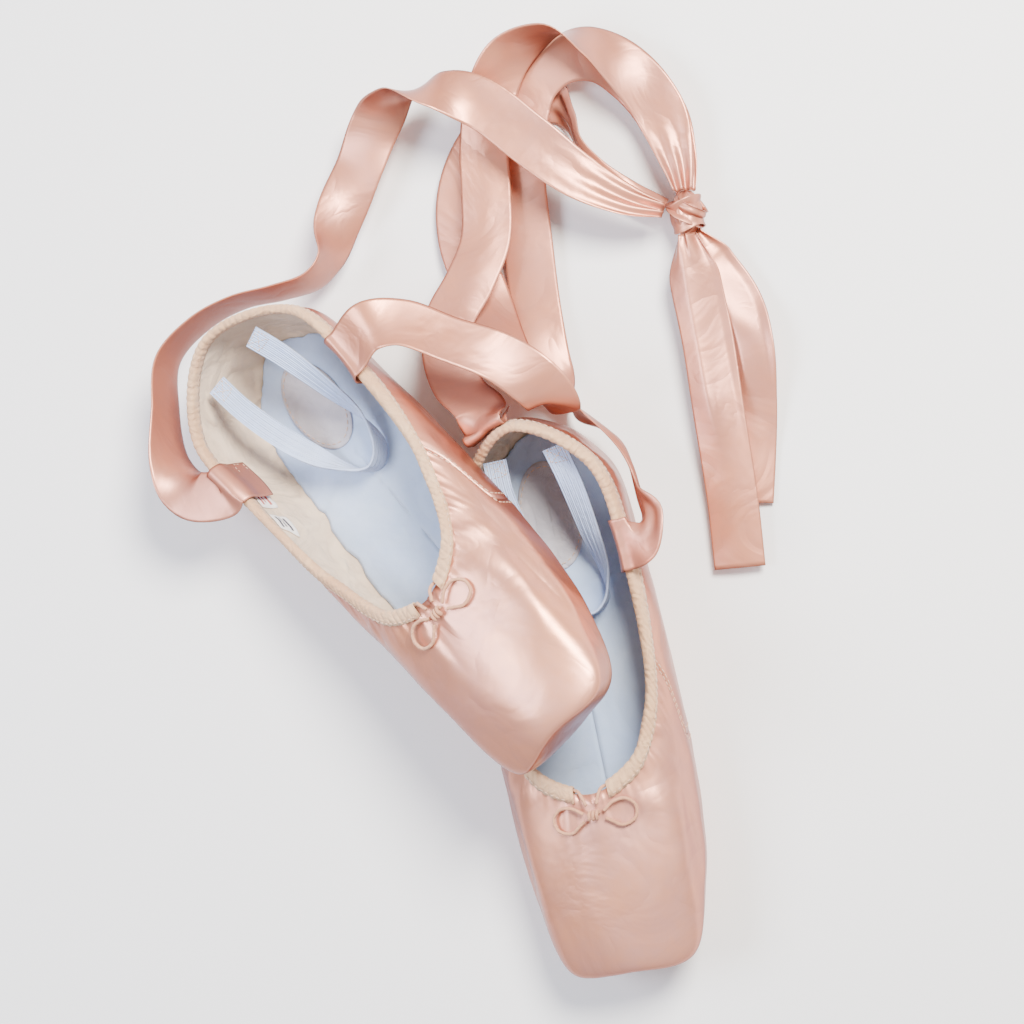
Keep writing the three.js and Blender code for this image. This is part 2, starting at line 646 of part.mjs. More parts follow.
// ---------------------------------------------------------------- assembly
function shoe(prefix, shape, place) {
  const grid = upperGrid(shape);
  const pieces = [
    finish(`${prefix}_vamp`, vamp(grid), 'satin'),
    finish(`${prefix}_quarter_left`, quarter(grid, 1), 'satin'),
    finish(`${prefix}_quarter_right`, quarter(grid, -1), 'satin'),
    finish(`${prefix}_toe_box`, toeBox(grid), 'box'),
    finish(`${prefix}_lining`, lining(grid), 'lining'),
    finish(`${prefix}_outsole`, outsole(grid), 'leather'),
    finish(`${prefix}_shank_board`, shankBoard(), 'board'),
    finish(`${prefix}_insole`, insole(), 'sock'),
    finish(`${prefix}_heel_pad`, heelPad(), 'pad'),
    finish(`${prefix}_binding`, binding(grid), 'binding'),
    finish(`${prefix}_drawstring`, drawstring(grid), 'cord'),
    finish(`${prefix}_bow_knot`, bowKnot(), 'cord'),
    finish(`${prefix}_bow_loop_left`, bowLoop(1), 'cord'),
    finish(`${prefix}_bow_loop_right`, bowLoop(-1), 'cord'),
    finish(`${prefix}_elastic_loop`, elasticLoop(shape.elasticDrop, shape.elasticLean), 'elastic'),
    finish(`${prefix}_size_label`, label(grid, SIZE_LABEL_COLUMNS, shape.labelRow), 'label'),
    finish(`${prefix}_care_label`, label(grid, CARE_LABEL_COLUMNS, shape.labelRow), 'label'),
  ];
  const group = new THREE.Group();
  group.rotation.order = 'ZYX';
  group.rotation.z = THREE.MathUtils.degToRad(place.heading);
  group.rotation.y = THREE.MathUtils.degToRad(-place.pitch);
  group.rotation.x = THREE.MathUtils.degToRad(place.roll);
  group.position.set(...place.at);
  group.add(...pieces);
  return { group, grid };
}

const pair = new THREE.Group();
pair.name = 'pointe_shoe_pair';
const shoes = {
  a: shoe('a', FRONT_SHAPE, FRONT_SHOE),
  b: shoe('b', BACK_SHAPE, BACK_SHOE),
};
pair.add(shoes.a.group, shoes.b.group);
Object.keys(RIBBONS).forEach((name) => pair.add(ribbon(name, shoes)));
Object.keys(TAILS).forEach((name) => pair.add(tail(name)));
pair.add(ribbonKnot());

export default pair;
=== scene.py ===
"""A pair of satin pointe shoes tied together by their ribbons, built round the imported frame."""

import json
import math

import bmesh
import bpy
import numpy as np
from mathutils import Matrix, Vector


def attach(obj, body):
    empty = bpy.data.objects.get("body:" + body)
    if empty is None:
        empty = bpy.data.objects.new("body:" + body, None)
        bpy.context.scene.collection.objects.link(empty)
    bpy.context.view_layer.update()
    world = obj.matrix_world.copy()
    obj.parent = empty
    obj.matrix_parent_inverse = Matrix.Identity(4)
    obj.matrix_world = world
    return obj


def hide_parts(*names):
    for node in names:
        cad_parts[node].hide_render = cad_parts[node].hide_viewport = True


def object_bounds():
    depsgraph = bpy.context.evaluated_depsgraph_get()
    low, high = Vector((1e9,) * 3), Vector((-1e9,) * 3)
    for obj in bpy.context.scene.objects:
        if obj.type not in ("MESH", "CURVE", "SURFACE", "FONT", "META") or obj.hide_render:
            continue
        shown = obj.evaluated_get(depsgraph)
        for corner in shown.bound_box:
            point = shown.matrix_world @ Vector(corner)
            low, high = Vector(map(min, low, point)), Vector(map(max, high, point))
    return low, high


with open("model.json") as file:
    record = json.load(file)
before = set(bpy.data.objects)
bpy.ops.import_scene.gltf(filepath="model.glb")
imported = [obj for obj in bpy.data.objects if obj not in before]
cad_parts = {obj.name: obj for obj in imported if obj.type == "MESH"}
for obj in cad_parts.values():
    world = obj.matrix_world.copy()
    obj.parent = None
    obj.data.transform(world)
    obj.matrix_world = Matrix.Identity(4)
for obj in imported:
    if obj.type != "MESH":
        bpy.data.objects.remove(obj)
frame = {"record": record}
CAD_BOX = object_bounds()

bl_info = {
    "name": "Pointe shoe pair",
    "version": (1, 0, 0),
    "blender": (4, 5, 0),
    "location": "3D View > Sidebar > Pointe Shoes",
    "description": "Builds satin pointe shoes, their ribbons and a pale studio round a CAD frame",
    "category": "Add Mesh",
}

MM = 0.001
ROOT = "pair"

# ---------------------------------------------------------------- the last, in millimetres
SHOE_LENGTH = 236.0
PLATFORM_LEAN = 5.5
WIDTH_SCALE = 1.06
SOLE_MOUNT = 112.75
MARGIN = 2.3
SATIN = 0.9
LINING_DEPTH = 1.2
LINING = 0.7
BOX_DEPTH = 1.2
BOX_WALL = 2.2
LINING_DEPTH_IN_BOX = 3.7
# rim, crown, upper wall, lower wall, feather edge and margin at eight stations, toe to heel
STATIONS = np.array([
    [(160, 0, 45), (214, 0, 43.5), (SHOE_LENGTH, 0, 38), (SHOE_LENGTH - PLATFORM_LEAN, 0, 6),
     (217, 0, MARGIN), (205, 0, MARGIN)],
    [(151, 19, 43), (205, 25.5, 37.5), (SHOE_LENGTH - 1.5, 24.5, 30),
     (SHOE_LENGTH - PLATFORM_LEAN - 1, 23, 12),
     (205, 19.5, MARGIN), (195, 14, MARGIN)],
    [(136, 27, 40), (166, 34, 32), (206, 34, 24), (204, 33.5, 12), (178, 27, MARGIN),
     (172, 19, MARGIN)],
    [(124, 30.5, 38.5), (147, 36, 31), (180, 37.5, 22), (178, 37, 11), (158, 28, MARGIN),
     (156, 19, MARGIN)],
    [(108, 32.5, 37.5), (124, 37, 30), (145, 38.5, 21), (144, 38, 10), (132, 27, MARGIN),
     (132, 18, MARGIN)],
    [(66, 34, 38), (67, 36.5, 29), (68, 36.5, 19), (68, 34.5, 9), (68, 24, MARGIN),
     (68, 15, MARGIN)],
    [(25, 27.5, 44), (23.5, 29.5, 32), (22.5, 29.5, 20), (23, 27.5, 9), (29, 19.5, MARGIN),
     (36, 12, MARGIN)],
    [(3.5, 0, 51.5), (0.3, 0, 37), (0, 0, 22), (1.5, 0, 10), (8.5, 0, MARGIN),
     (18, 0, MARGIN)],
], float)
STEPS = [3, 2, 2, 2, 2, 3, 4]
FINE = 10
SPREAD_SHARES = [1, 0.65, 0.25, 0, 0, 0]
SEAM_COLUMN = 9
BOX_COLUMN = 7
HEEL_COLUMN = 18
COLUMNS = 36
ROW_COUNT = 76
SHAPES = {
    "a": {"spread": [0, 0, 0, 0, 2.5, 5, 9, 0], "press": None, "drop": 0, "lean": 0,
          "label_row": 1},
    "b": {"spread": [0, 0, 0, 0, 0, -1, 0, 0],
          "press": [[0, 0, 0, 4, 11, 15, 14, 0], [0, 0, 0, 2, 6, 9, 8, 0],
                    [0, 0, 0, 0, 0, 3, 2, 0]], "drop": 9, "lean": 5, "label_row": 2},
}


def mount(name):
    """Place and outward direction of one of the frame's mounts, as numpy arrays."""
    found = next(m for m in frame["record"]["mounts"] if m["name"] == name)
    return np.array(found["pos_m"], float), np.array(found["axis"], float)


def shoe_matrix(prefix):
    """Carries a shoe's own frame (millimetres, heel at the origin, toe along x) to the pair's."""
    sole, down = mount(prefix + "_sole")
    up = -down / np.linalg.norm(down)
    left = np.cross(up, mount(prefix + "_toe_platform")[1])
    left /= np.linalg.norm(left)
    toe = np.cross(left, up)
    matrix = np.eye(4)
    matrix[:3, 0], matrix[:3, 1], matrix[:3, 2] = toe * MM, left * MM, up * MM
    matrix[:3, 3] = sole - toe * SOLE_MOUNT * MM
    return matrix


def carried(points, matrix):
    """Points through a 4x4 matrix."""
    points = np.asarray(points, float)
    return points @ matrix[:3, :3].T + matrix[:3, 3]


def turned(vectors, matrix):
    """Directions through a 4x4 matrix, at unit length."""
    out = np.asarray(vectors, float) @ matrix[:3, :3].T
    return out / np.maximum(np.linalg.norm(out, axis=-1, keepdims=True), 1e-12)


# ---------------------------------------------------------------- curves
def spline(points, per_part, closed=False):
    """Centripetal Catmull-Rom through points, per_part samples from each point to the next."""
    p = np.asarray(points, float)
    n = len(p)
    parts = n if closed else n - 1
    counts = per_part if isinstance(per_part, list) else [per_part] * parts

    def get(i):
        if closed:
            return p[i % n]
        if i < 0:
            return 2 * p[0] - p[1]
        return p[i] if i < n else 2 * p[-1] - p[-2]

    out = []
    for i in range(parts):
        p0, p1, p2, p3 = get(i - 1), get(i), get(i + 1), get(i + 2)
        a, b, c = (max(np.sum((v - u) ** 2) ** 0.25, 1e-4) for u, v in ((p0, p1), (p1, p2), (p2, p3)))
        s1 = ((p1 - p0) / a - (p2 - p0) / (a + b) + (p2 - p1) / b) * b
        s2 = ((p2 - p1) / b - (p3 - p1) / (b + c) + (p3 - p2) / c) * b
        for k in range(counts[i]):
            t = k / counts[i]
            out.append(p1 + s1 * t + (3 * (p2 - p1) - 2 * s1 - s2) * t * t
                       + (2 * (p1 - p2) + s1 + s2) * t ** 3)
    if not closed:
        out.append(p[-1])
    return np.array(out)


def monotone(values, u):
    """Smooth curve along the second axis of values that never overshoots them, at places u."""
    step = np.diff(values, axis=1)
    slope = np.zeros_like(values)
    a, b = step[:, :-1], step[:, 1:]
    same = a * b > 0
    slope[:, 1:-1] = np.where(same, 2 * a * b / np.where(same, a + b, 1), 0)
    first = 1.5 * step[:, 0] - 0.5 * slope[:, 1]
    first = np.where(first * step[:, 0] <= 0, 0, first)
    slope[:, 0] = np.where(abs(first) > 3 * abs(step[:, 0]), 3 * step[:, 0], first)
    slope[:, -1] = step[:, -1]
    i = np.minimum(u.astype(int), values.shape[1] - 2)
    t = (u - i)[None, :, None]
    blend = t * t * (3 - 2 * t)
    return (values[:, i] * (1 - blend) + values[:, i + 1] * blend
            + t * (1 - t) ** 2 * slope[:, i] - t * t * (1 - t) * slope[:, i + 1])


def smooth(x, low, high):
    """0 below low, 1 above high, smooth between."""
    t = np.clip((x - low) / (high - low), 0, 1)
    return t * t * (3 - 2 * t)


def ripples(points, size, seed, count=9):
    """Soft seeded unevenness from -1 to 1 whose waves are about size long."""
    rng = np.random.default_rng(seed)
    total = np.zeros(points.shape[:-1])
    for _ in range(count):
        way = rng.normal(size=3)
        way /= np.linalg.norm(way)
        wave = size * rng.uniform(0.6, 1.6)
        total += np.sin(points @ way * 2 * math.pi / wave + rng.uniform(0, 2 * math.pi))
    return total / math.sqrt(count) / 1.4


class Last:
    """Outer surface of one shoe's upper: a closed ring of columns, each with rows downwards."""

    def __init__(self, prefix):
        self.shape = SHAPES[prefix]
        self.matrix = shoe_matrix(prefix)
        loops = [self.rail(r) for r in range(6)]
        counts = [s * FINE for s in STEPS + STEPS[::-1]]
        rings = np.stack([spline(loop, counts, closed=True) for loop in loops], axis=1)
        self.rows = np.linspace(0, 5, ROW_COUNT)
        self.points = monotone(rings, self.rows)
        along = np.roll(self.points, -1, axis=0) - np.roll(self.points, 1, axis=0)
        down = np.gradient(self.points, axis=1)
        normal = np.cross(down, along)
        self.normals = normal / np.linalg.norm(normal, axis=2, keepdims=True)
        self.columns = np.arange(len(self.points)) / FINE

    def rail(self, rail):
        """One rail of the last as a closed ring of control points."""
        left = STATIONS[:, rail].copy()
        left[:, 1] = left[:, 1] * WIDTH_SCALE + np.array(self.shape["spread"]) * SPREAD_SHARES[rail]
        right = left * (1, -1, 1)
        press = self.shape["press"]
        if press and rail < len(press):
            right[:, 2] -= press[rail]
        return np.concatenate([left, right[1:-1][::-1]])

    def take(self, columns):
        """Ring indices from one CAD column to another; columns may be negative."""
        first, last = (int(round(c * FINE)) for c in columns)
        return np.arange(first, last + 1) % len(self.points)

    def at(self, column, row, depth=0.0):
        """A point at a CAD column and a row number, sunk below the surface."""
        i = column * FINE
        low, share = int(math.floor(i)), i - math.floor(i)
        j = int(round(row / 5 * (ROW_COUNT - 1)))
        n = len(self.points)
        ends = [self.points[k % n, j] - self.normals[k % n, j] * depth for k in (low, low + 1)]
        return ends[0] * (1 - share) + ends[1] * share

    def rim(self, column):
        """Place, outward and upward directions at the rim."""
        at = self.at(column, 0)
        out = self.at(column, 0, -1) - at
        out /= np.linalg.norm(out)
        up = at - self.at(column, 0.5)
        up -= out * (up @ out)
        return at, out, up / np.linalg.norm(up)


LASTS = {prefix: Last(prefix) for prefix in SHAPES}


# ---------------------------------------------------------------- mesh helpers
def joined(piece, distance):
    """Merges points of a piece closer than distance metres, so that its middle shades smoothly."""
    mesh = bmesh.new()
    mesh.from_mesh(piece.data)
    bmesh.ops.remove_doubles(mesh, verts=mesh.verts, dist=distance)
    mesh.to_mesh(piece.data)
    mesh.free()
    return piece


def new_piece(name, vertices, faces, uvs=None, flat=False):
    """A mesh object from vertices in metres, with an optional UV layer in metres."""
    mesh = bpy.data.meshes.new(name)
    mesh.from_pydata([tuple(v) for v in np.asarray(vertices, float)], [], faces)
    if uvs is not None:
        layer = mesh.uv_layers.new(name="cloth")
        corner = np.zeros(len(mesh.loops), int)
        mesh.loops.foreach_get("vertex_index", corner)
        layer.data.foreach_set("uv", np.asarray(uvs, float)[corner].ravel())
    mesh.polygons.foreach_set("use_smooth", [not flat] * len(mesh.polygons))
    mesh.update()
    piece = bpy.data.objects.new(name, mesh)
    bpy.context.scene.collection.objects.link(piece)
    return piece


def dress(piece, material, slot, body, *nodes):
    """Gives a piece its material, its body and the CAD nodes it stands for; the slot argument is not
    used.
    """
    if piece.type == "MESH":
        piece.data.materials.clear()
        piece.data.materials.append(material)
    if nodes:
        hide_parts(*nodes)
    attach(piece, body)
    return piece


def grid_faces(count, rows, ring, offset=0, flip=False):
    """Quads of a grid of count columns and rows rows."""
    faces = []
    for c in range(count if ring else count - 1):
        a, b = offset + c * rows, offset + ((c + 1) % count) * rows
        for r in range(rows - 1):
            quad = (a + r, a + r + 1, b + r + 1, b + r)
            faces.append(quad[::-1] if flip else quad)
    return faces


def shell(name, outer, inner, ring=False, uv=None):
    """A closed skin between two equal grids of points (columns, rows, 3), in metres."""
    count, rows = outer.shape[:2]
    size = count * rows
    points = np.concatenate([outer.reshape(-1, 3), inner.reshape(-1, 3)])
    faces = grid_faces(count, rows, ring) + grid_faces(count, rows, ring, size, True)
    for c in range(count if ring else count - 1):
        a, b = c * rows, ((c + 1) % count) * rows
        faces.append((a, b, size + b, size + a))
        faces.append((a + rows - 1, size + a + rows - 1, size + b + rows - 1, b + rows - 1))
    if not ring:
        last = (count - 1) * rows
        for r in range(rows - 1):
            faces.append((r, size + r, size + r + 1, r + 1))
            faces.append((last + r, last + r + 1, size + last + r + 1, size + last + r))
    if uv is None:
        along = np.linalg.norm(np.diff(outer[:, rows // 2], axis=0, prepend=outer[:1, rows // 2]), axis=1)
        down = np.linalg.norm(np.diff(outer, axis=1, prepend=outer[:, :1]), axis=2)
        uv = np.stack([np.broadcast_to(np.cumsum(along)[:, None], (count, rows)),
                       np.cumsum(down, axis=1)], axis=2)
    both = np.concatenate([uv.reshape(-1, 2)] * 2)
    return new_piece(name, points, faces, both)


def tube(name, sections, ring=False):
    """A closed skin through equal closed cross-sections (count, points, 3), in metres."""
    count, n = sections.shape[:2]
    faces = []
    for c in range(count if ring else count - 1):
        a, b = c * n, ((c + 1) % count) * n
        for k in range(n):
            m = (k + 1) % n
            faces.append((a + k, a + m, b + m, b + k))
    if not ring:
        faces.append(tuple(range(n))[::-1])
        faces.append(tuple(range((count - 1) * n, count * n)))
    middle = sections.mean(axis=1)
    along = np.cumsum(np.linalg.norm(np.diff(middle, axis=0, prepend=middle[:1]), axis=1))
    around = np.linspace(0, 1, n, endpoint=False)
    uv = np.stack(np.meshgrid(along, around, indexing="ij"), axis=2)
    return new_piece(name, sections.reshape(-1, 3), faces, uv.reshape(-1, 2))


def frames_along(path):
    """Steady side and face directions along a path."""
    tangent = np.gradient(path, axis=0)
    tangent /= np.linalg.norm(tangent, axis=1, keepdims=True)
    side = np.cross(tangent[0], (0, 0, 1))
    if np.linalg.norm(side) < 0.1:
        side = np.cross(tangent[0], (0, 1, 0))
    sides = []
    for t in tangent:
        side = side - t * (side @ t)
        side = side / np.linalg.norm(side)
        sides.append(side)
    sides = np.array(sides)
    return sides, np.cross(tangent, sides)


def twisted_cord(name, path, diameter, strands=3, lay=5.0, around=15):
    """A laid cord along a path in metres: strands wind round it once per lay diameters."""
    side, face = frames_along(path)
    along = np.cumsum(np.linalg.norm(np.diff(path, axis=0, prepend=path[:1]), axis=1))
    angle = np.linspace(0, 2 * math.pi, around, endpoint=False)
    turn = along[:, None] * 2 * math.pi / (lay * diameter)
    radius = diameter / 2 * (0.86 + 0.14 * abs(np.cos(strands / 2 * (angle[None] - turn))))
    ring = (side[:, None] * (np.cos(angle)[None] * radius)[..., None]
            + face[:, None] * (np.sin(angle)[None] * radius)[..., None])
    return tube(name, (path[:, None] + ring)[:, ::-1])


def stop(values, scale=MM):
    """A stop of a band's route: place in metres, direction of its width, share of its width."""
    x, y, z, azimuth, elevation, *rest = values
    a, e = math.radians(azimuth), math.radians(elevation)
    across = (math.cos(a) * math.cos(e), math.sin(a) * math.cos(e), math.sin(e))
    return np.array([x, y, z]) * scale, np.array(across), rest[0] if rest else 1.0


def band_frames(stops, per_part):
    """Middle line, width direction, face direction and width share along a band."""
    middle = spline([s[0] for s in stops], per_part)
    across = spline([s[1] for s in stops], per_part)
    gather = spline([[s[2]] for s in stops], per_part)[:, 0]
    forward = np.gradient(middle, axis=0)
    forward /= np.linalg.norm(forward, axis=1, keepdims=True)
    across -= forward * np.sum(across * forward, axis=1, keepdims=True)
    across /= np.linalg.norm(across, axis=1, keepdims=True)
    return middle, across, np.cross(forward, across), np.clip(gather, 0.2, 1)


def band(name, stops, width, thickness, per_part=8, around=13, cup=0.0, wave=0.0, seed=1, ribs=0,
         fold=0.11, folds=2.4, roof=0.0, roof_ends=(0.0, 1.0)):
    """A flat woven band through its stops; gathered stretches are folded lengthwise.

    cup and roof lift the middle, as shares of the width; a roof has a sharp crest between its
    two ends. wave is the height of its soft unevenness in metres.
    """
    middle, across, face, gather = band_frames(stops, per_part)
    along = np.cumsum(np.linalg.norm(np.diff(middle, axis=0, prepend=middle[:1]), axis=1))
    s = np.linspace(-0.5, 0.5, around)
    lift = cup * (0.25 - s[None] ** 2) * width * 4 * np.ones((len(middle), 1))
    flat = np.stack(np.broadcast_arrays(along[:, None], s[None] * width, 0 * lift), axis=2)
    lift += wave * ripples(flat * (0.35, 1, 1), width * 1.2, seed)
    lift += np.cos(s[None] * 2 * math.pi * folds + seed) * (1 - gather[:, None]) * width * fold
    share = along[:, None] / along[-1]
    first, final = roof_ends
    standing = smooth(share, first, first + 0.15) * (1 - smooth(share, final - 0.25, final))
    crest = np.sqrt((s[None] + 0.08 + 0.10 * np.sin(share * 5)) ** 2 + 0.0006)
    lift += roof * width * standing * np.maximum(1 - 2 * crest, 0)
    rise = face[:, None] * lift[..., None]
    centre = middle[:, None] + across[:, None] * (s[None] * width * gather[:, None])[..., None] + rise
    thick = thickness / 2 * (1 - 0.25 * np.cos(s * 2 * math.pi * ribs) if ribs else np.ones(around))
    half = face[:, None] * thick[None, :, None]
    uv = np.stack(np.broadcast_arrays(s[None] * width, along[:, None]), axis=2)
    piece = shell(name, centre + half, centre - half, uv=uv)
    return piece, float(along[-1])


# ---------------------------------------------------------------- shader helpers
def linear(colour):
    """Linear RGBA of an sRGB colour."""
    return tuple(c / 12.92 if c <= 0.04045 else ((c + 0.055) / 1.055) ** 2.4 for c in colour) + (1.0,)


class Nodes:
    """Short words for adding and joining shader nodes in one tree."""

    def __init__(self, tree):
        self.tree = tree

    def add(self, kind, values=None, **settings):
        """A node with settings and with input sockets set by name or number."""
        node = self.tree.nodes.new(kind)
        for key, value in settings.items():
            setattr(node, key, value)
        for key, value in (values or {}).items():
            self.feed(node, key, value)
        return node

    def feed(self, node, key, value):
        """Joins an output to an input socket, or sets the socket's value."""
        socket = node.inputs[key]
        if isinstance(value, bpy.types.NodeSocket):
            self.tree.links.new(value, socket)
        else:
            socket.default_value = value

    def math(self, operation, a, b=0.0, clamp=False):
        """Output of a Math node."""
        node = self.add("ShaderNodeMath", {0: a, 1: b}, operation=operation, use_clamp=clamp)
        return node.outputs[0]

    def mix(self, share, a, b, blend="MIX"):
        """Output of a colour Mix node."""
        node = self.add("ShaderNodeMix", {0: share, 6: a, 7: b}, data_type="RGBA", blend_type=blend)
        return node.outputs[2]

    def noise(self, vector, scale, detail=3.0, rough=0.5):
        """Factor output of a Noise node."""
        values = {"Vector": vector, "Scale": scale, "Detail": detail, "Roughness": rough}
        return self.add("ShaderNodeTexNoise", values).outputs["Fac"]

    def ramp(self, value, low, high, to_low=0.0, to_high=1.0):
        """A value mapped from one range to another, clamped."""
        node = self.add("ShaderNodeMapRange", {0: value, 1: low, 2: high, 3: to_low, 4: to_high})
        return node.outputs[0]


def group(name, inputs, outputs, build):
    """A shader node group with named sockets; build(nodes, inputs, outputs) fills it."""
    tree = bpy.data.node_groups.new(name, "ShaderNodeTree")
    for socket_name, kind, default in inputs:
        socket = tree.interface.new_socket(socket_name, in_out="INPUT", socket_type=kind)
        if default is not None:
            socket.default_value = default
    for socket_name, kind in outputs:
        tree.interface.new_socket(socket_name, in_out="OUTPUT", socket_type=kind)
    nodes = Nodes(tree)
    start = tree.nodes.new("NodeGroupInput")
    end = tree.nodes.new("NodeGroupOutput")
    build(nodes, start.outputs, end.inputs, tree.links)
    return tree


FLOAT, COLOUR = "NodeSocketFloat", "NodeSocketColor"


def build_mottle(n, i, o, links):
    """Two colours mixed by broad and fine noise."""
    place = n.add("ShaderNodeTexCoord").outputs["Object"]
    broad = n.noise(place, i["Broad Scale"], 2.0)
    fine = n.noise(place, i["Fine Scale"], 4.0, 0.6)
    both = n.math("ADD", n.math("MULTIPLY", broad, 0.7), n.math("MULTIPLY", fine, 0.3))
    share = n.ramp(both, 0.36, 0.64)
    links.new(n.mix(share, i["First"], i["Second"]), o["Color"])
    links.new(share, o["Mask"])


def build_weave(n, i, o, links):
    """Threads over and under, as a height, from cloth coordinates in metres."""
    cloth = n.add("ShaderNodeUVMap", uv_map="cloth").outputs[0]
    parts = n.add("ShaderNodeSeparateXYZ", {0: cloth})
    pitch = n.math("DIVIDE", 2 * math.pi, i["Thread"])
    warp = n.math("SINE", n.math("MULTIPLY", parts.outputs[0], pitch))
    weft = n.math("SINE", n.math("MULTIPLY", parts.outputs[1], pitch))
    crossed = n.math("MULTIPLY", warp, weft)
    stripes = n.math("ADD", n.math("MULTIPLY", crossed, n.math("SUBTRACT", 1.0, i["Rib"])),
                     n.math("MULTIPLY", warp, i["Rib"]))
    place = n.add("ShaderNodeTexCoord").outputs["Object"]
    slub = n.noise(place, 900.0, 2.0)
    links.new(n.math("ADD", n.math("MULTIPLY", stripes, 0.5), slub), o["Height"])


def build_crease(n, i, o, links):
    """Long soft creases as a height, and a mask of where they dip."""
    place = n.add("ShaderNodeTexCoord").outputs["Object"]
    warped = n.add("ShaderNodeTexNoise", {"Vector": place, "Scale": i["Scale"], "Detail": 3.0,
                                          "Roughness": 0.45, "Distortion": 1.2}).outputs["Fac"]
    ridge = n.math("ABSOLUTE", n.math("SUBTRACT", warped, 0.5))
    height = n.ramp(ridge, 0.0, 0.16)
    links.new(height, o["Height"])
    links.new(n.math("SUBTRACT", 1.0, height), o["Dip"])


GROUPS = {}


def make_groups():
    """Builds the shared effects once."""
    if GROUPS:
        return
    GROUPS["mottle"] = group(
        "Cloth mottle", [("First", COLOUR, None), ("Second", COLOUR, None),
                         ("Broad Scale", FLOAT, 20.0), ("Fine Scale", FLOAT, 160.0)],
        [("Color", COLOUR), ("Mask", FLOAT)], build_mottle)
    GROUPS["weave"] = group(
        "Thread weave", [("Thread", FLOAT, 0.0005), ("Rib", FLOAT, 0.0)], [("Height", FLOAT)],
        build_weave)
    GROUPS["crease"] = group(
        "Soft creases", [("Scale", FLOAT, 30.0)], [("Height", FLOAT), ("Dip", FLOAT)], build_crease)


def cloth_material(name, first, second, rough, thread=0.0005, rib=0.0, weave_depth=0.15,
                   crease=None, crease_depth=0.0, crease_shade=None, crease_shade_share=0.25, edge=None,
                   painted_edge_shade_share=0.9, **shader):
    """A woven cloth: mottled colour, thread relief and soft creases over a Principled shader, with
    painted shade in the crease lines and where the cloth turns away from the view.
    """
    if name in bpy.data.materials:
        return bpy.data.materials[name]
    make_groups()
    material = bpy.data.materials.new(name)
    material.use_nodes = True
    n = Nodes(material.node_tree)
    surface = material.node_tree.nodes["Principled BSDF"]
    mottle = n.add("ShaderNodeGroup", node_tree=GROUPS["mottle"])
    n.feed(mottle, "First", linear(first))
    n.feed(mottle, "Second", linear(second))
    colour = mottle.outputs["Color"]
    weave = n.add("ShaderNodeGroup", node_tree=GROUPS["weave"])
    n.feed(weave, "Thread", thread)
    n.feed(weave, "Rib", rib)
    bump = n.add("ShaderNodeBump", {"Height": weave.outputs["Height"], "Strength": weave_depth,
                                    "Distance": 0.0003})
    normal = bump.outputs[0]
    if crease:
        folds = n.add("ShaderNodeGroup", {"Scale": crease}, node_tree=GROUPS["crease"])
        second_bump = n.add("ShaderNodeBump", {"Height": folds.outputs["Height"], "Normal": normal,
                                               "Strength": crease_depth, "Distance": 0.002})
        normal = second_bump.outputs[0]
        # Painted shade: a darker colour is mixed into the thin crease lines, where the creases dip.
        if crease_shade:
            share = n.math("MULTIPLY", folds.outputs["Dip"], crease_shade_share)
            colour = n.mix(share, colour, linear(crease_shade))
    # Painted shade: the colour is mixed towards the darker edge colour where the surface turns away from
    # the view (Layer Weight facing).
    if edge:
        painted_edge_shade_mask = n.add("ShaderNodeLayerWeight", {"Blend": 0.42, "Normal": normal}).outputs["Facing"]
        colour = n.mix(n.ramp(painted_edge_shade_mask, 0.06, 0.62, 0.0, painted_edge_shade_share), colour, linear(edge))
    n.feed(surface, "Base Color", colour)
    n.feed(surface, "Normal", normal)
    n.feed(surface, "Roughness", n.ramp(mottle.outputs["Mask"], 0.0, 1.0, rough - 0.04, rough + 0.06))
    for key, value in shader.items():
        surface.inputs[key.replace("_", " ")].default_value = value
    return material
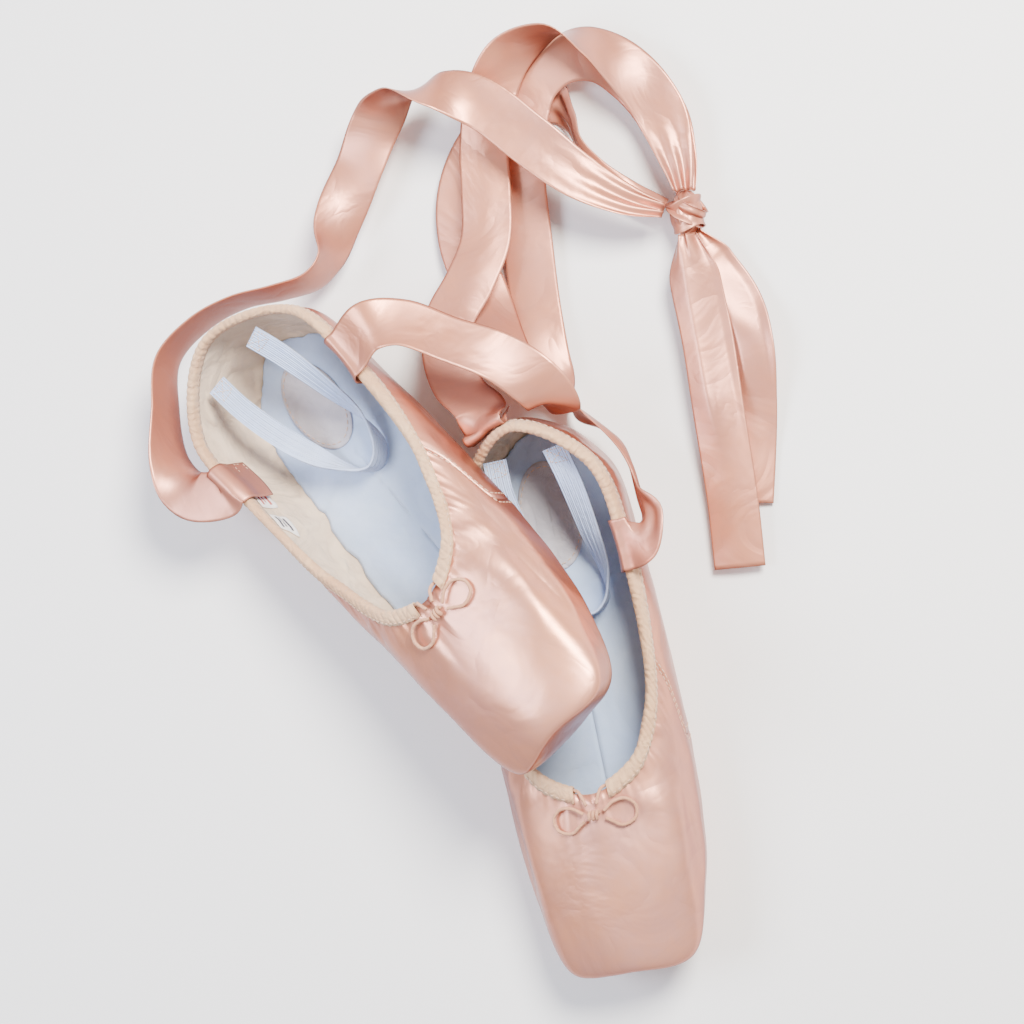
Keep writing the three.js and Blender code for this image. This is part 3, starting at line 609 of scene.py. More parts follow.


# Painted shade in the materials below: the darker crease colour is mixed into the thin crease lines, and
# the satin's and ribbons' edge colours where they turn away from the view.
MATERIALS = {
    "satin": lambda p: cloth_material(
        "shoe satin", p.satin, p.satin_shade, p.satin_rough, thread=0.0003, rib=0.7,
        weave_depth=0.05, crease=26.0, crease_depth=0.12, crease_shade=(0.70, 0.50, 0.46), crease_shade_share=0.12,
        edge=p.satin_painted_edge_shade, Metallic=0.5, Specular_IOR_Level=0.7, Anisotropic=0.5,
        Coat_Weight=0.10, Coat_Roughness=0.32, Coat_Tint=linear((0.90, 0.88, 1.0))),
    "ribbon": lambda p: cloth_material(
        "ribbon satin", p.ribbon, p.ribbon_shade, p.satin_rough + 0.02, thread=0.0004, rib=0.8,
        weave_depth=0.06, crease=30.0, crease_depth=0.10, crease_shade=(0.70, 0.50, 0.46), crease_shade_share=0.12,
        edge=p.ribbon_painted_edge_shade, Metallic=0.45, Specular_IOR_Level=0.6, Anisotropic=0.4,
        Coat_Weight=0.08, Coat_Roughness=0.35, Coat_Tint=linear((0.90, 0.88, 1.0))),
    "lining": lambda p: cloth_material(
        "lining cotton", p.lining, (0.87, 0.77, 0.66), 0.85, thread=0.0006, weave_depth=0.35,
        crease=45.0, crease_depth=0.45, crease_shade=(0.70, 0.62, 0.55), crease_shade_share=0.40,
        Sheen_Weight=0.2),
    "sock": lambda p: cloth_material(
        "sock cotton", p.sock, (0.68, 0.77, 0.91), 0.85, thread=0.0007, weave_depth=0.3,
        crease=22.0, crease_depth=0.15, crease_shade=(0.60, 0.66, 0.76), crease_shade_share=0.25,
        Sheen_Weight=0.2),
    "pad": lambda p: cloth_material(
        "heel pad felt", (0.78, 0.76, 0.78), (0.71, 0.70, 0.73), 0.95, thread=0.0009,
        weave_depth=0.3, crease=60.0, crease_depth=0.25, crease_shade=(0.62, 0.60, 0.64),
        Sheen_Weight=0.4),
    "binding": lambda p: cloth_material(
        "binding tape", (0.89, 0.74, 0.58), (0.84, 0.65, 0.48), 0.7, thread=0.0006,
        weave_depth=0.3, crease=120.0, crease_depth=0.3, crease_shade=(0.74, 0.56, 0.44),
        crease_shade_share=0.35, Sheen_Weight=0.25),
    "cord": lambda p: cloth_material(
        "drawstring cotton", (0.86, 0.65, 0.51), (0.79, 0.56, 0.42), 0.75, thread=0.0004,
        weave_depth=0.3, crease=200.0, crease_depth=0.2, crease_shade=(0.70, 0.48, 0.38),
        Sheen_Weight=0.2),
    "elastic": lambda p: cloth_material(
        "woven elastic", (0.78, 0.84, 0.96), (0.70, 0.78, 0.94), 0.75, thread=0.0009, rib=0.9,
        weave_depth=0.8, crease=60.0, crease_depth=0.1, crease_shade=(0.66, 0.70, 0.80),
        Sheen_Weight=0.2),
    "leather": lambda p: cloth_material(
        "sole leather", (0.74, 0.62, 0.50), (0.62, 0.49, 0.38), 0.75, thread=0.0013,
        weave_depth=0.1, crease=70.0, crease_depth=0.5, crease_shade=(0.42, 0.33, 0.27),
        crease_shade_share=0.45),
    "box": lambda p: cloth_material(
        "glued toe block", (0.79, 0.70, 0.55), (0.70, 0.60, 0.45), 0.8, thread=0.0014,
        weave_depth=0.6, crease=40.0, crease_depth=0.3, crease_shade=(0.55, 0.44, 0.30)),
    "board": lambda p: cloth_material(
        "shank board", (0.56, 0.43, 0.29), (0.47, 0.35, 0.23), 0.85, thread=0.0020,
        weave_depth=0.2, crease=90.0, crease_depth=0.3, crease_shade=(0.33, 0.24, 0.16)),
    "label": lambda p: cloth_material(
        "label tape", (0.97, 0.95, 0.93), (0.92, 0.90, 0.89), 0.6, thread=0.0004,
        weave_depth=0.3),
    "label_bar": lambda p: cloth_material(
        "label bars", (0.80, 0.42, 0.38), (0.72, 0.36, 0.34), 0.6, thread=0.0004,
        weave_depth=0.3),
    "label_bar_dark": lambda p: cloth_material(
        "label dark bars", (0.34, 0.33, 0.36), (0.28, 0.27, 0.30), 0.6, thread=0.0004,
        weave_depth=0.3),
    "stitch": lambda p: cloth_material(
        "sewing thread", (0.90, 0.78, 0.68), (0.84, 0.70, 0.60), 0.6, thread=0.0003,
        weave_depth=0.3),
}


def made_of(key):
    """The named finish, built with the scene's own settings."""
    return MATERIALS[key](bpy.context.scene.pointe_shoes)


# ---------------------------------------------------------------- relief of the cloth
def lengths(points, axis):
    """Running length along an axis of a grid of points."""
    first = np.take(points, [0], axis=axis)
    return np.cumsum(np.linalg.norm(np.diff(points, axis=axis, prepend=first), axis=-1), axis=axis)


def satin_relief(last):
    """How far the satin stands off the smooth last at every point, in millimetres."""
    points, rows = last.points, last.rows[None]
    columns = last.columns[:, None]
    from_toe = np.minimum(columns, COLUMNS - columns)
    below_rim = lengths(points, 1)
    along_rim = lengths(points, 0)[:, :1]
    uneven = ripples(points, 26, 3)
    puckers = 0.42 * np.cos(2 * math.pi * along_rim / 5.2 + 1.6 * uneven) * np.exp(-below_rim / 6)
    angle = np.arctan2(points[..., 1], points[..., 0] - 138)
    rays = np.sin(angle * 13 + 2.0 * ripples(points, 40, 5)) * np.exp(-((below_rim - 9) / 17) ** 2)
    rays *= 0.55 * (1 - smooth(from_toe, 4.5, 7.5))
    slanted = points * (0.55, 1.0, 0.8) + points[..., ::-1] * (0.35, 0, 0)
    waist = 0.75 * ripples(slanted, 17, 11) * smooth(from_toe, 5, 8) * (1 - smooth(rows, 3.2, 4))
    around_sole = lengths(points, 0)[:, [int(4 / 5 * (ROW_COUNT - 1))]]
    pleats = abs(np.sin(math.pi * around_sole / 5.6 + 0.8 * uneven)) * smooth(rows, 3.55, 4.1)
    pleats *= 0.75 * (1 - smooth(from_toe, 6, 9)) + 0.15
    drape = 0.35 * ripples(points, 34, 17) * smooth(below_rim, 4, 16) * (1 - smooth(rows, 3.4, 4))
    seam = np.minimum(abs(from_toe - SEAM_COLUMN), abs(HEEL_COLUMN - from_toe))
    dip = 0.35 * np.exp(-(seam / 0.09) ** 2)
    return np.maximum(puckers + rays + waist + pleats + drape, -0.15) - dip


def lining_relief(last):
    """How far the lining is wrinkled inwards at every point, in millimetres."""
    points, rows = last.points, last.rows[None]
    from_toe = np.minimum(last.columns, COLUMNS - last.columns)[:, None]
    below_rim = lengths(points, 1)
    slanted = points * (1.0, 0.5, 0.6) + points[..., ::-1] * (0.4, 0, 0)
    soft = 1.3 * np.maximum(ripples(slanted, 15, 23), -0.2) + 0.5 * ripples(points, 8, 29)
    fade = smooth(below_rim, 2.5, 8) * (1 - smooth(rows, 3.2, 3.9))
    calm = 1 - 0.6 * (1 - smooth(from_toe, 5, 9))
    return np.maximum(soft, 0) * fade * calm


def box_share(last):
    """1 where the stiff toe block lies between satin and lining, 0 elsewhere."""
    from_toe = np.minimum(last.columns, COLUMNS - last.columns)[:, None]
    rows = last.rows[None]
    along = 1 - np.clip(from_toe - BOX_COLUMN, 0, 1)
    return along * np.clip((rows - 0.5) * 2, 0, 1) * (1 - np.clip((rows - 3) * 2, 0, 1))


def lining_depth(last):
    """Depth of the lining's outer face below the satin's face."""
    return LINING_DEPTH + (LINING_DEPTH_IN_BOX - LINING_DEPTH) * box_share(last)


def lifted(last, amount):
    """The last's grid moved outwards by amount millimetres."""
    return last.points + last.normals * np.asarray(amount)[..., None]


def panel(last, outer, inner, first, stop_column, name):
    """One closed panel of the upper between two CAD columns, trimmed back a hair at its seams."""
    take = last.take((first, stop_column))
    outer, inner = outer[take].copy(), inner[take].copy()
    for grid in (outer, inner):
        grid[0] += (grid[1] - grid[0]) * 0.08
        grid[-1] += (grid[-2] - grid[-1]) * 0.08
    return shell(name, carried(outer, last.matrix), carried(inner, last.matrix))


def sew_uppers(prefix):
    """Satin vamp and quarters of one shoe."""
    last = LASTS[prefix]
    relief = satin_relief(last)
    outer, inner = lifted(last, relief), lifted(last, 0.8 * relief - SATIN)
    for part, first, end in (("vamp", -SEAM_COLUMN, SEAM_COLUMN),
                             ("quarter_left", SEAM_COLUMN, HEEL_COLUMN),
                             ("quarter_right", HEEL_COLUMN, COLUMNS - SEAM_COLUMN)):
        name = f"{prefix}_{part}"
        piece = panel(last, outer, inner, first, end, name + "_satin")
        dress(piece, made_of("satin"), "satin", ROOT, name)


def sew_seams(prefix):
    """Rows of stitches beside the side seams and the back seam."""
    last = LASTS[prefix]
    face = lifted(last, satin_relief(last) + 0.06)
    threads = []
    for column in (SEAM_COLUMN, HEEL_COLUMN, COLUMNS - SEAM_COLUMN):
        for side in (-0.14, 0.14):
            i = int(round((column + side) * FINE)) % len(face)
            line = face[i][smooth_rows(last, 0.25, 3.9)]
            threads += dashes(carried(line, last.matrix), 0.0028, 0.7)
    piece = thread_piece(f"{prefix}_seam_stitches", threads, 0.00022)
    dress(piece, made_of("stitch"), "cord", ROOT)


def smooth_rows(last, first, end):
    """Row indices between two row numbers."""
    return np.nonzero((last.rows >= first) & (last.rows <= end))[0]


def dashes(line, pitch, filled):
    """Short straight runs along a line, one each pitch metres."""
    run = lengths(line, 0)
    starts = np.arange(pitch * 0.2, run[-1] - pitch, pitch)

    def place(s):
        return np.array([np.interp(s, run, line[:, k]) for k in range(3)])

    return [(place(s), place(s + pitch * filled)) for s in starts]


def thread_piece(name, runs, radius):
    """Small rounded threads, each between two points, joined into one piece."""
    vertices, faces = [], []
    for a, b in runs:
        way = (b - a) / max(np.linalg.norm(b - a), 1e-9)
        side = np.cross(way, (0.3, 0.4, 0.86))
        side /= np.linalg.norm(side)
        other = np.cross(way, side)
        base = len(vertices)
        for share, size in ((0, 0.35), (0.15, 1), (0.85, 1), (1, 0.35)):
            centre = a + (b - a) * share
            for k in range(6):
                t = k * math.pi / 3
                vertices.append(centre + (side * math.cos(t) + other * math.sin(t)) * radius * size)
        for ring in range(3):
            for k in range(6):
                m = (k + 1) % 6
                p, q = base + ring * 6, base + (ring + 1) * 6
                faces.append((p + k, p + m, q + m, q + k))
        faces.append(tuple(base + k for k in range(6))[::-1])
        faces.append(tuple(base + 18 + k for k in range(6)))
    return new_piece(name, vertices, faces, [(v[0], v[1]) for v in vertices])


# ---------------------------------------------------------------- inside the shoe
def glue_box(prefix):
    """The stiff block inside the toe."""
    last = LASTS[prefix]
    rough = 0.12 * ripples(last.points, 5, 31)
    outer = lifted(last, np.minimum(rough, 0.1) - BOX_DEPTH)
    inner = lifted(last, np.maximum(rough, -0.05) - BOX_DEPTH - BOX_WALL)
    keep = smooth_rows(last, 1, 3)
    take = last.take((-BOX_COLUMN, BOX_COLUMN))
    grids = [carried(g[take][:, keep], last.matrix) for g in (outer, inner)]
    piece = shell(f"{prefix}_toe_block", *grids)
    dress(piece, made_of("box"), "box_paste", ROOT, f"{prefix}_toe_box")


def lay_lining(prefix):
    """The cotton lining all round the inside."""
    last = LASTS[prefix]
    depth, wrinkle = lining_depth(last), lining_relief(last)
    outer = carried(lifted(last, -depth - wrinkle * 0.8), last.matrix)
    inner = carried(lifted(last, -depth - wrinkle - LINING), last.matrix)
    piece = shell(f"{prefix}_lining_cotton", outer, inner, ring=True)
    dress(piece, made_of("lining"), "lining", ROOT, f"{prefix}_lining")


def patch(last, columns, rows, depth, thickness, name, count=14):
    """A small closed patch of the lining's inner face between columns and rows."""
    face = lifted(last, -lining_depth(last) - lining_relief(last) - LINING - depth)
    back = lifted(last, -lining_depth(last) - lining_relief(last) - LINING - depth - thickness)
    c = np.linspace(*columns, count) * FINE
    r = np.linspace(*rows, count) / 5 * (ROW_COUNT - 1)

    def sample(grid):
        ci, ri = c.astype(int), r.astype(int)
        cs, rs = (c - ci)[:, None, None], (r - ri)[None, :, None]
        n = len(grid)
        near, far = grid[ci % n], grid[(ci + 1) % n]
        return ((near[:, ri] * (1 - cs) + far[:, ri] * cs) * (1 - rs)
                + (near[:, ri + 1] * (1 - cs) + far[:, ri + 1] * cs) * rs)

    grids = [carried(sample(g), last.matrix) for g in (face, back)]
    return shell(name, *grids)


# name, first and last column, finish of the bars
LABELS = (("size_label", 24.2, 24.95, "label_bar"), ("care_label", 25.15, 25.5, "label_bar_dark"))
LABEL_GAP, LABEL_THICKNESS = 0.3, 0.35


def sew_labels(prefix):
    """Two woven labels with plain bars in place of words."""
    last = LASTS[prefix]
    top = SHAPES[prefix]["label_row"] * 0.5
    for label, first, end, bars in LABELS:
        name = f"{prefix}_{label}"
        piece = patch(last, (first, end), (top, top + 1.0), LABEL_GAP, LABEL_THICKNESS,
                      name + "_tape")
        dress(piece, made_of("label"), "label", ROOT, name)
        width = end - first
        for k in range(3):
            row = top + 0.20 + 0.25 * k
            ends = (first + 0.15 * width, end - (0.15 + 0.12 * (k % 2)) * width)
            bar = patch(last, ends, (row, row + 0.11), LABEL_GAP + LABEL_THICKNESS - 0.01, 0.08,
                        f"{name}_bar_{k + 1}", 8)
            dress(bar, made_of(bars), "label", ROOT)


def disc_grid(outline, centre, rings):
    """Rings of points from a spine outwards to an outline."""
    share = np.linspace(0, 1, rings)[None, :, None]
    return centre[:, None] * (1 - share) + outline[:, None] * share


def flat_ripples(x, y, size, seed):
    """Soft unevenness over a flat pad, at places x and y."""
    return ripples(np.stack([x, y, 0 * x], axis=-1), size, seed)


def pad_between(name, outline, spine, bottom, thickness, lift, matrix, edge=0.35):
    """A flat closed pad with a rounded edge; lift(x, y, share) raises its face."""
    rings = 18
    plan = disc_grid(outline, spine, rings)
    share = np.linspace(0, 1, rings)[None, :] * np.ones(len(outline))[:, None]
    rise = lift(plan[..., 0], plan[..., 1], share)
    roll = edge * thickness * smooth(share, 0.94, 1.0)
    low = np.concatenate([plan, (bottom + rise + roll)[..., None]], axis=2)
    high = np.concatenate([plan, (bottom + thickness + rise - roll)[..., None]], axis=2)
    return joined(shell(name, carried(high, matrix), carried(low, matrix), ring=True), 0.00005)


def lining_outline(last, height, inset):
    """Outline of the hollow inside the lining at a height, drawn in by inset."""
    inner = lifted(last, -lining_depth(last) - lining_relief(last) - LINING)
    outline = []
    for column in inner:
        j = int(np.argmax(column[:, 2] < height))
        a, b = column[max(j - 1, 0)], column[max(j, 1)]
        t = (a[2] - height) / max(a[2] - b[2], 1e-6)
        outline.append((a + (b - a) * np.clip(t, 0, 1))[:2])
    outline = np.array(outline)
    centre = np.stack([np.clip(outline[:, 0], 22, 185), 0 * outline[:, 0]], axis=1)
    way = centre - outline
    way /= np.maximum(np.linalg.norm(way, axis=1, keepdims=True), 1e-6)
    return outline + way * inset, centre


SOCK_BOTTOM, SOCK_THICKNESS = 7.3, 1.0
SOCK_EDGE_HEIGHT, SOCK_CLEARANCE = 8.6, 0.9


def lay_sock(prefix):
    """The pale sock the foot rests on, turned up a little where it meets the wall."""
    last = LASTS[prefix]
    outline, centre = lining_outline(last, SOCK_EDGE_HEIGHT, SOCK_CLEARANCE)

    def lift(x, y, share):
        return 0.25 * flat_ripples(x, y, 30, 41) * (1 - share) + 0.5 * smooth(share, 0.86, 1.0)

    piece = pad_between(f"{prefix}_sock", outline, centre, SOCK_BOTTOM, SOCK_THICKNESS, lift,
                        last.matrix)
    dress(piece, made_of("sock"), "sock", ROOT, f"{prefix}_insole")


HEEL_PAD_PLACE, HEEL_PAD_HALF_LENGTH, HEEL_PAD_HALF_WIDTH = 42, 24, 14
HEEL_PAD_BOTTOM, HEEL_PAD_THICKNESS = 8.75, 0.8
HEEL_PAD_STEPS = 72


def lay_heel_pad(prefix):
    """The oval grey pad at the heel."""
    last = LASTS[prefix]
    angle = np.linspace(0, 2 * math.pi, HEEL_PAD_STEPS, endpoint=False)
    outline = np.stack([HEEL_PAD_PLACE + HEEL_PAD_HALF_LENGTH * np.cos(angle),
                        HEEL_PAD_HALF_WIDTH * np.sin(angle)], axis=1)
    centre = np.stack([HEEL_PAD_PLACE + 9 * np.cos(angle), 0 * angle], axis=1)

    def lift(x, y, share):
        return 0.2 * flat_ripples(x, y, 14, 43) - 0.15 * smooth(share, 0.8, 1)

    piece = pad_between(f"{prefix}_heel_felt", outline, centre, HEEL_PAD_BOTTOM,
                        HEEL_PAD_THICKNESS, lift, last.matrix)
    dress(piece, made_of("pad"), "pad", ROOT, f"{prefix}_heel_pad")
    seam = (outline - (HEEL_PAD_PLACE, 0)) * 0.9 + (HEEL_PAD_PLACE, 0)
    above = HEEL_PAD_BOTTOM + HEEL_PAD_THICKNESS + 0.2
    edge = np.concatenate([seam, np.full((HEEL_PAD_STEPS, 1), above)], axis=1)
    threads = dashes(carried(np.vstack([edge, edge[:1]]), last.matrix), 0.003, 0.65)
    stitches = thread_piece(f"{prefix}_heel_pad_stitches", threads, 0.0002)
    dress(stitches, made_of("stitch"), "cord", ROOT)


SHANK_BOTTOM, SHANK_THICKNESS = 4.6, 2.3
SHANK_HALF = np.array([(14, 0), (17, 9), (28, 13), (68, 15), (110, 18), (140, 19), (152, 12),
                       (153, 0)], float)


def cut_shank(prefix):
    """The stiff board under the sock, skived thinner at its ends."""
    last = LASTS[prefix]
    outline = spline(np.vstack([SHANK_HALF, SHANK_HALF[1:-1][::-1] * (1, -1)]), 8,
                     closed=True)[::-1]
    centre = np.stack([np.clip(outline[:, 0], 22, 145), 0 * outline[:, 0]], axis=1)

    def lift(x, y, share):
        return 0.05 * flat_ripples(x, y, 9, 47)

    piece = pad_between(f"{prefix}_shank", outline, centre, SHANK_BOTTOM, SHANK_THICKNESS, lift,
                        last.matrix, 0.2)
    dress(piece, made_of("board"), "shank_board", ROOT, f"{prefix}_shank_board")


def cut_outsole(prefix):
    """The leather sole: bevelled edge, light wear and a channel groove."""
    last = LASTS[prefix]
    edge = last.points[:, int(4 / 5 * (ROW_COUNT - 1)), :2]
    ahead = np.roll(edge, -1, axis=0) - np.roll(edge, 1, axis=0)
    ahead /= np.linalg.norm(ahead, axis=1, keepdims=True)
    inward = np.stack([-ahead[:, 1], ahead[:, 0]], axis=1)
    outline = edge + inward * 1.5
    centre = np.stack([np.clip(outline[:, 0], 28, 198), 0 * outline[:, 0]], axis=1)
    rings = 22
    plan = disc_grid(outline, centre, rings)
    share = np.linspace(0, 1, rings)[None, :] * np.ones(len(outline))[:, None]
    bevel = smooth(share, 0.93, 1.0)
    groove = np.exp(-((share - 0.82) / 0.018) ** 2)
    worn = 0.06 * ripples(np.concatenate([plan, 0 * plan[..., :1]], axis=2), 12, 53)
    low = np.concatenate([plan, (0.05 + 0.7 * bevel + 0.22 * groove + np.maximum(worn, 0))[..., None]],
                         axis=2)
    high = np.concatenate([plan, (2.0 - 0.15 * bevel)[..., None]], axis=2)
    piece = joined(shell(f"{prefix}_sole", carried(high, last.matrix), carried(low, last.matrix),
                         ring=True), 0.00005)
    dress(piece, made_of("leather"), "sole_leather", ROOT, f"{prefix}_outsole")


# ---------------------------------------------------------------- binding and drawstring
BINDING_PROFILE = [(1.0, -4.2), (1.2, -1.2), (1.05, 1.0), (0.8, 2.0), (0.2, 2.65), (-0.85, 2.95),
                   (-1.9, 2.65), (-2.5, 2.0), (-2.75, 1.0), (-2.8, -0.6), (-2.7, -2.5),
                   (-2.2, -2.5), (-2.2, 1.6), (-1.7, 2.15), (-0.85, 2.3), (-0.1, 2.15), (0.5, 1.6),
                   (0.55, -4.2)]
BINDING_OUTSIDE = 11
CASING_ENDS = (1, COLUMNS - 1)


def rim_frames(last, columns):
    """Rim places and outward and upward directions at many CAD columns."""
    found = [last.rim(c) for c in columns]
    return [np.array(part) for part in zip(*found)]


def gather_binding(prefix):
    """The gathered tape folded over the rim."""
    last = LASTS[prefix]
    columns = np.linspace(*CASING_ENDS, 760)
    at, out, up = rim_frames(last, columns)
    along = lengths(at, 0)
    uneven = ripples(np.stack([along, 0 * along, 0 * along], axis=1), 22, 61)
    ridge = abs(np.sin(math.pi * along / 3.1 + 1.4 * uneven)) ** 0.7
    profile = np.array(BINDING_PROFILE)
    middle = np.array([-0.85, 0.8])
    sections = []
    for i in range(len(columns)):
        shape = profile.copy()
        outside = shape[:BINDING_OUTSIDE]
        outside += (outside - middle) * (0.17 * (ridge[i] - 0.45))
        shape[[0, 10], 1] += 0.35 * (ridge[i] - 0.5)
        sections.append(at[i] + out[i] * shape[:, :1] + up[i] * shape[:, 1:])
    piece = tube(f"{prefix}_binding_tape", carried(np.array(sections), last.matrix))
    dress(piece, made_of("binding"), "binding", ROOT, f"{prefix}_binding")


def stitch_binding(prefix):
    """One row of stitches along the binding's outer edge."""
    last = LASTS[prefix]
    at, out, up = rim_frames(last, np.linspace(CASING_ENDS[0] + 0.2, CASING_ENDS[1] - 0.2, 340))
    line = at + out * 1.28 - up * 3.2
    threads = dashes(carried(line, last.matrix), 0.0026, 0.6)
    piece = thread_piece(f"{prefix}_binding_stitches", threads, 0.0002)
    dress(piece, made_of("stitch"), "cord", ROOT)


CORD = 1.5
CORD_EXIT = np.array([(157.9, 5.2, 45.2), (159.6, 3.9, 47.1), (164.0, 2.2, 48.2)])
BOW_CENTRE = np.array([168.5, 0, 47.5])
LOOP_ROUTE = np.array([(-1.2, 4.4, -0.6), (-4.2, 9, -0.7), (-4.6, 14, -1.6), (-1, 17.6, -2.8),
                       (4, 16.6, -3.0), (6, 11, -1.9), (3.6, 7, -1.2), (1.9, 4.6, -0.8)])


def lay_cord(name, route, per_part, matrix, node, strands=3):
    """A cord through the points of its route."""
    path = carried(spline(route, per_part), matrix)
    piece = twisted_cord(name, path, CORD * MM, strands)
    dress(piece, made_of("cord"), "cord", ROOT, node)
    return piece


def thread_drawstring(prefix):
    """The cord through the binding, both its ends running to the bow's knot."""
    last = LASTS[prefix]
    at, out, up = rim_frames(last, np.linspace(*CASING_ENDS, 69))
    ring = at - out * 0.95 + up * 1.25
    route = np.vstack([CORD_EXIT[::-1], ring, CORD_EXIT * (1, -1, 1)])
    lay_cord(f"{prefix}_drawstring_cord", route, 7, last.matrix, f"{prefix}_drawstring")


def tie_bow(prefix):
    """The small knot of the drawstring and the two loops beside it."""
    last = LASTS[prefix]
    for side, word in ((1, "left"), (-1, "right")):
        route = BOW_CENTRE + LOOP_ROUTE * (1, side, 1)
        lay_cord(f"{prefix}_bow_{word}", route, 12, last.matrix, f"{prefix}_bow_loop_{word}")
    turn = np.linspace(0, 1, 90)
    angle = turn * 2 * math.pi * 2.7
    wraps = np.stack([1.55 * np.cos(angle), (turn - 0.5) * 4.4, 1.2 * np.sin(angle)], axis=1)
    path = carried(BOW_CENTRE + wraps, last.matrix)
    knot = twisted_cord(f"{prefix}_bow_wraps", path, CORD * MM)
    dress(knot, made_of("cord"), "cord", ROOT, f"{prefix}_bow_knot")


# ---------------------------------------------------------------- elastic loops
ELASTIC_WIDTH = 10.0
ELASTIC_STOPS = [
    (15.5, 14, 42, 90, 0), (30, 16.5, 36, 90, 5), (52, 18, 26.5, 90, 30), (71, 17.5, 17, 100, 65),
    (83, 13, 14.2, 130, 88), (87, 6, 14.2, 0, 90), (83, -1, 14.2, 50, 88),
    (70, -8.5, 17, 80, 115), (52, -13, 26.5, 90, 150), (30, -15, 36, 90, 175),
    (15.5, -14, 42, 90, 180),
]
ELASTIC_LEAN = [0, 0, 0.1, 0.4, 0.8, 1, 1, 0.9, 0.6, 0.2, 0]


def sew_elastic(prefix):
    """The pale elastic sewn to both sides of the heel."""
    last, shape = LASTS[prefix], SHAPES[prefix]
    final = len(ELASTIC_STOPS) - 1
    stops = []
    for i, (x, y, z, azimuth, elevation) in enumerate(ELASTIC_STOPS):
        drop = shape["drop"] * (i - final + 2) * 0.5 if i > final - 2 else 0
        place, across, gather = stop((x, y + shape["lean"] * ELASTIC_LEAN[i], z - drop, azimuth,
                                      elevation), 1)
        stops.append((carried(place, last.matrix), turned(across, last.matrix), gather))
    piece, length = band(f"{prefix}_elastic_band", stops, ELASTIC_WIDTH * MM, 0.9 * MM, 12, 29,
                         ribs=7)
    dress(piece, made_of("elastic"), "elastic", f"{prefix}_elastic", f"{prefix}_elastic_loop")
    threads = []
    for end in (stops[:2], stops[::-1][:2]):
        (a, across, _), (b, _, _) = end
        ahead = (b - a) / np.linalg.norm(b - a)
        face = np.cross(ahead, across)
        face *= np.sign(face @ last.matrix[:3, 2]) or 1.0
        for lift in (face, -face):
            corners = [a + ahead * u * MM + across * v * MM + lift * 0.55 * MM
                       for u, v in ((0.8, -3.8), (0.8, 3.8), (7, 3.8), (7, -3.8), (0.8, -3.8),
                                    (7, 3.8), (7, -3.8), (0.8, 3.8))]
            for p, q in zip(corners, corners[1:]):
                threads += dashes(np.array([p, q]), 0.0016, 0.65)
    stitches = thread_piece(f"{prefix}_elastic_stitches", threads, 0.00018)
    dress(stitches, made_of("stitch"), "cord", f"{prefix}_elastic")


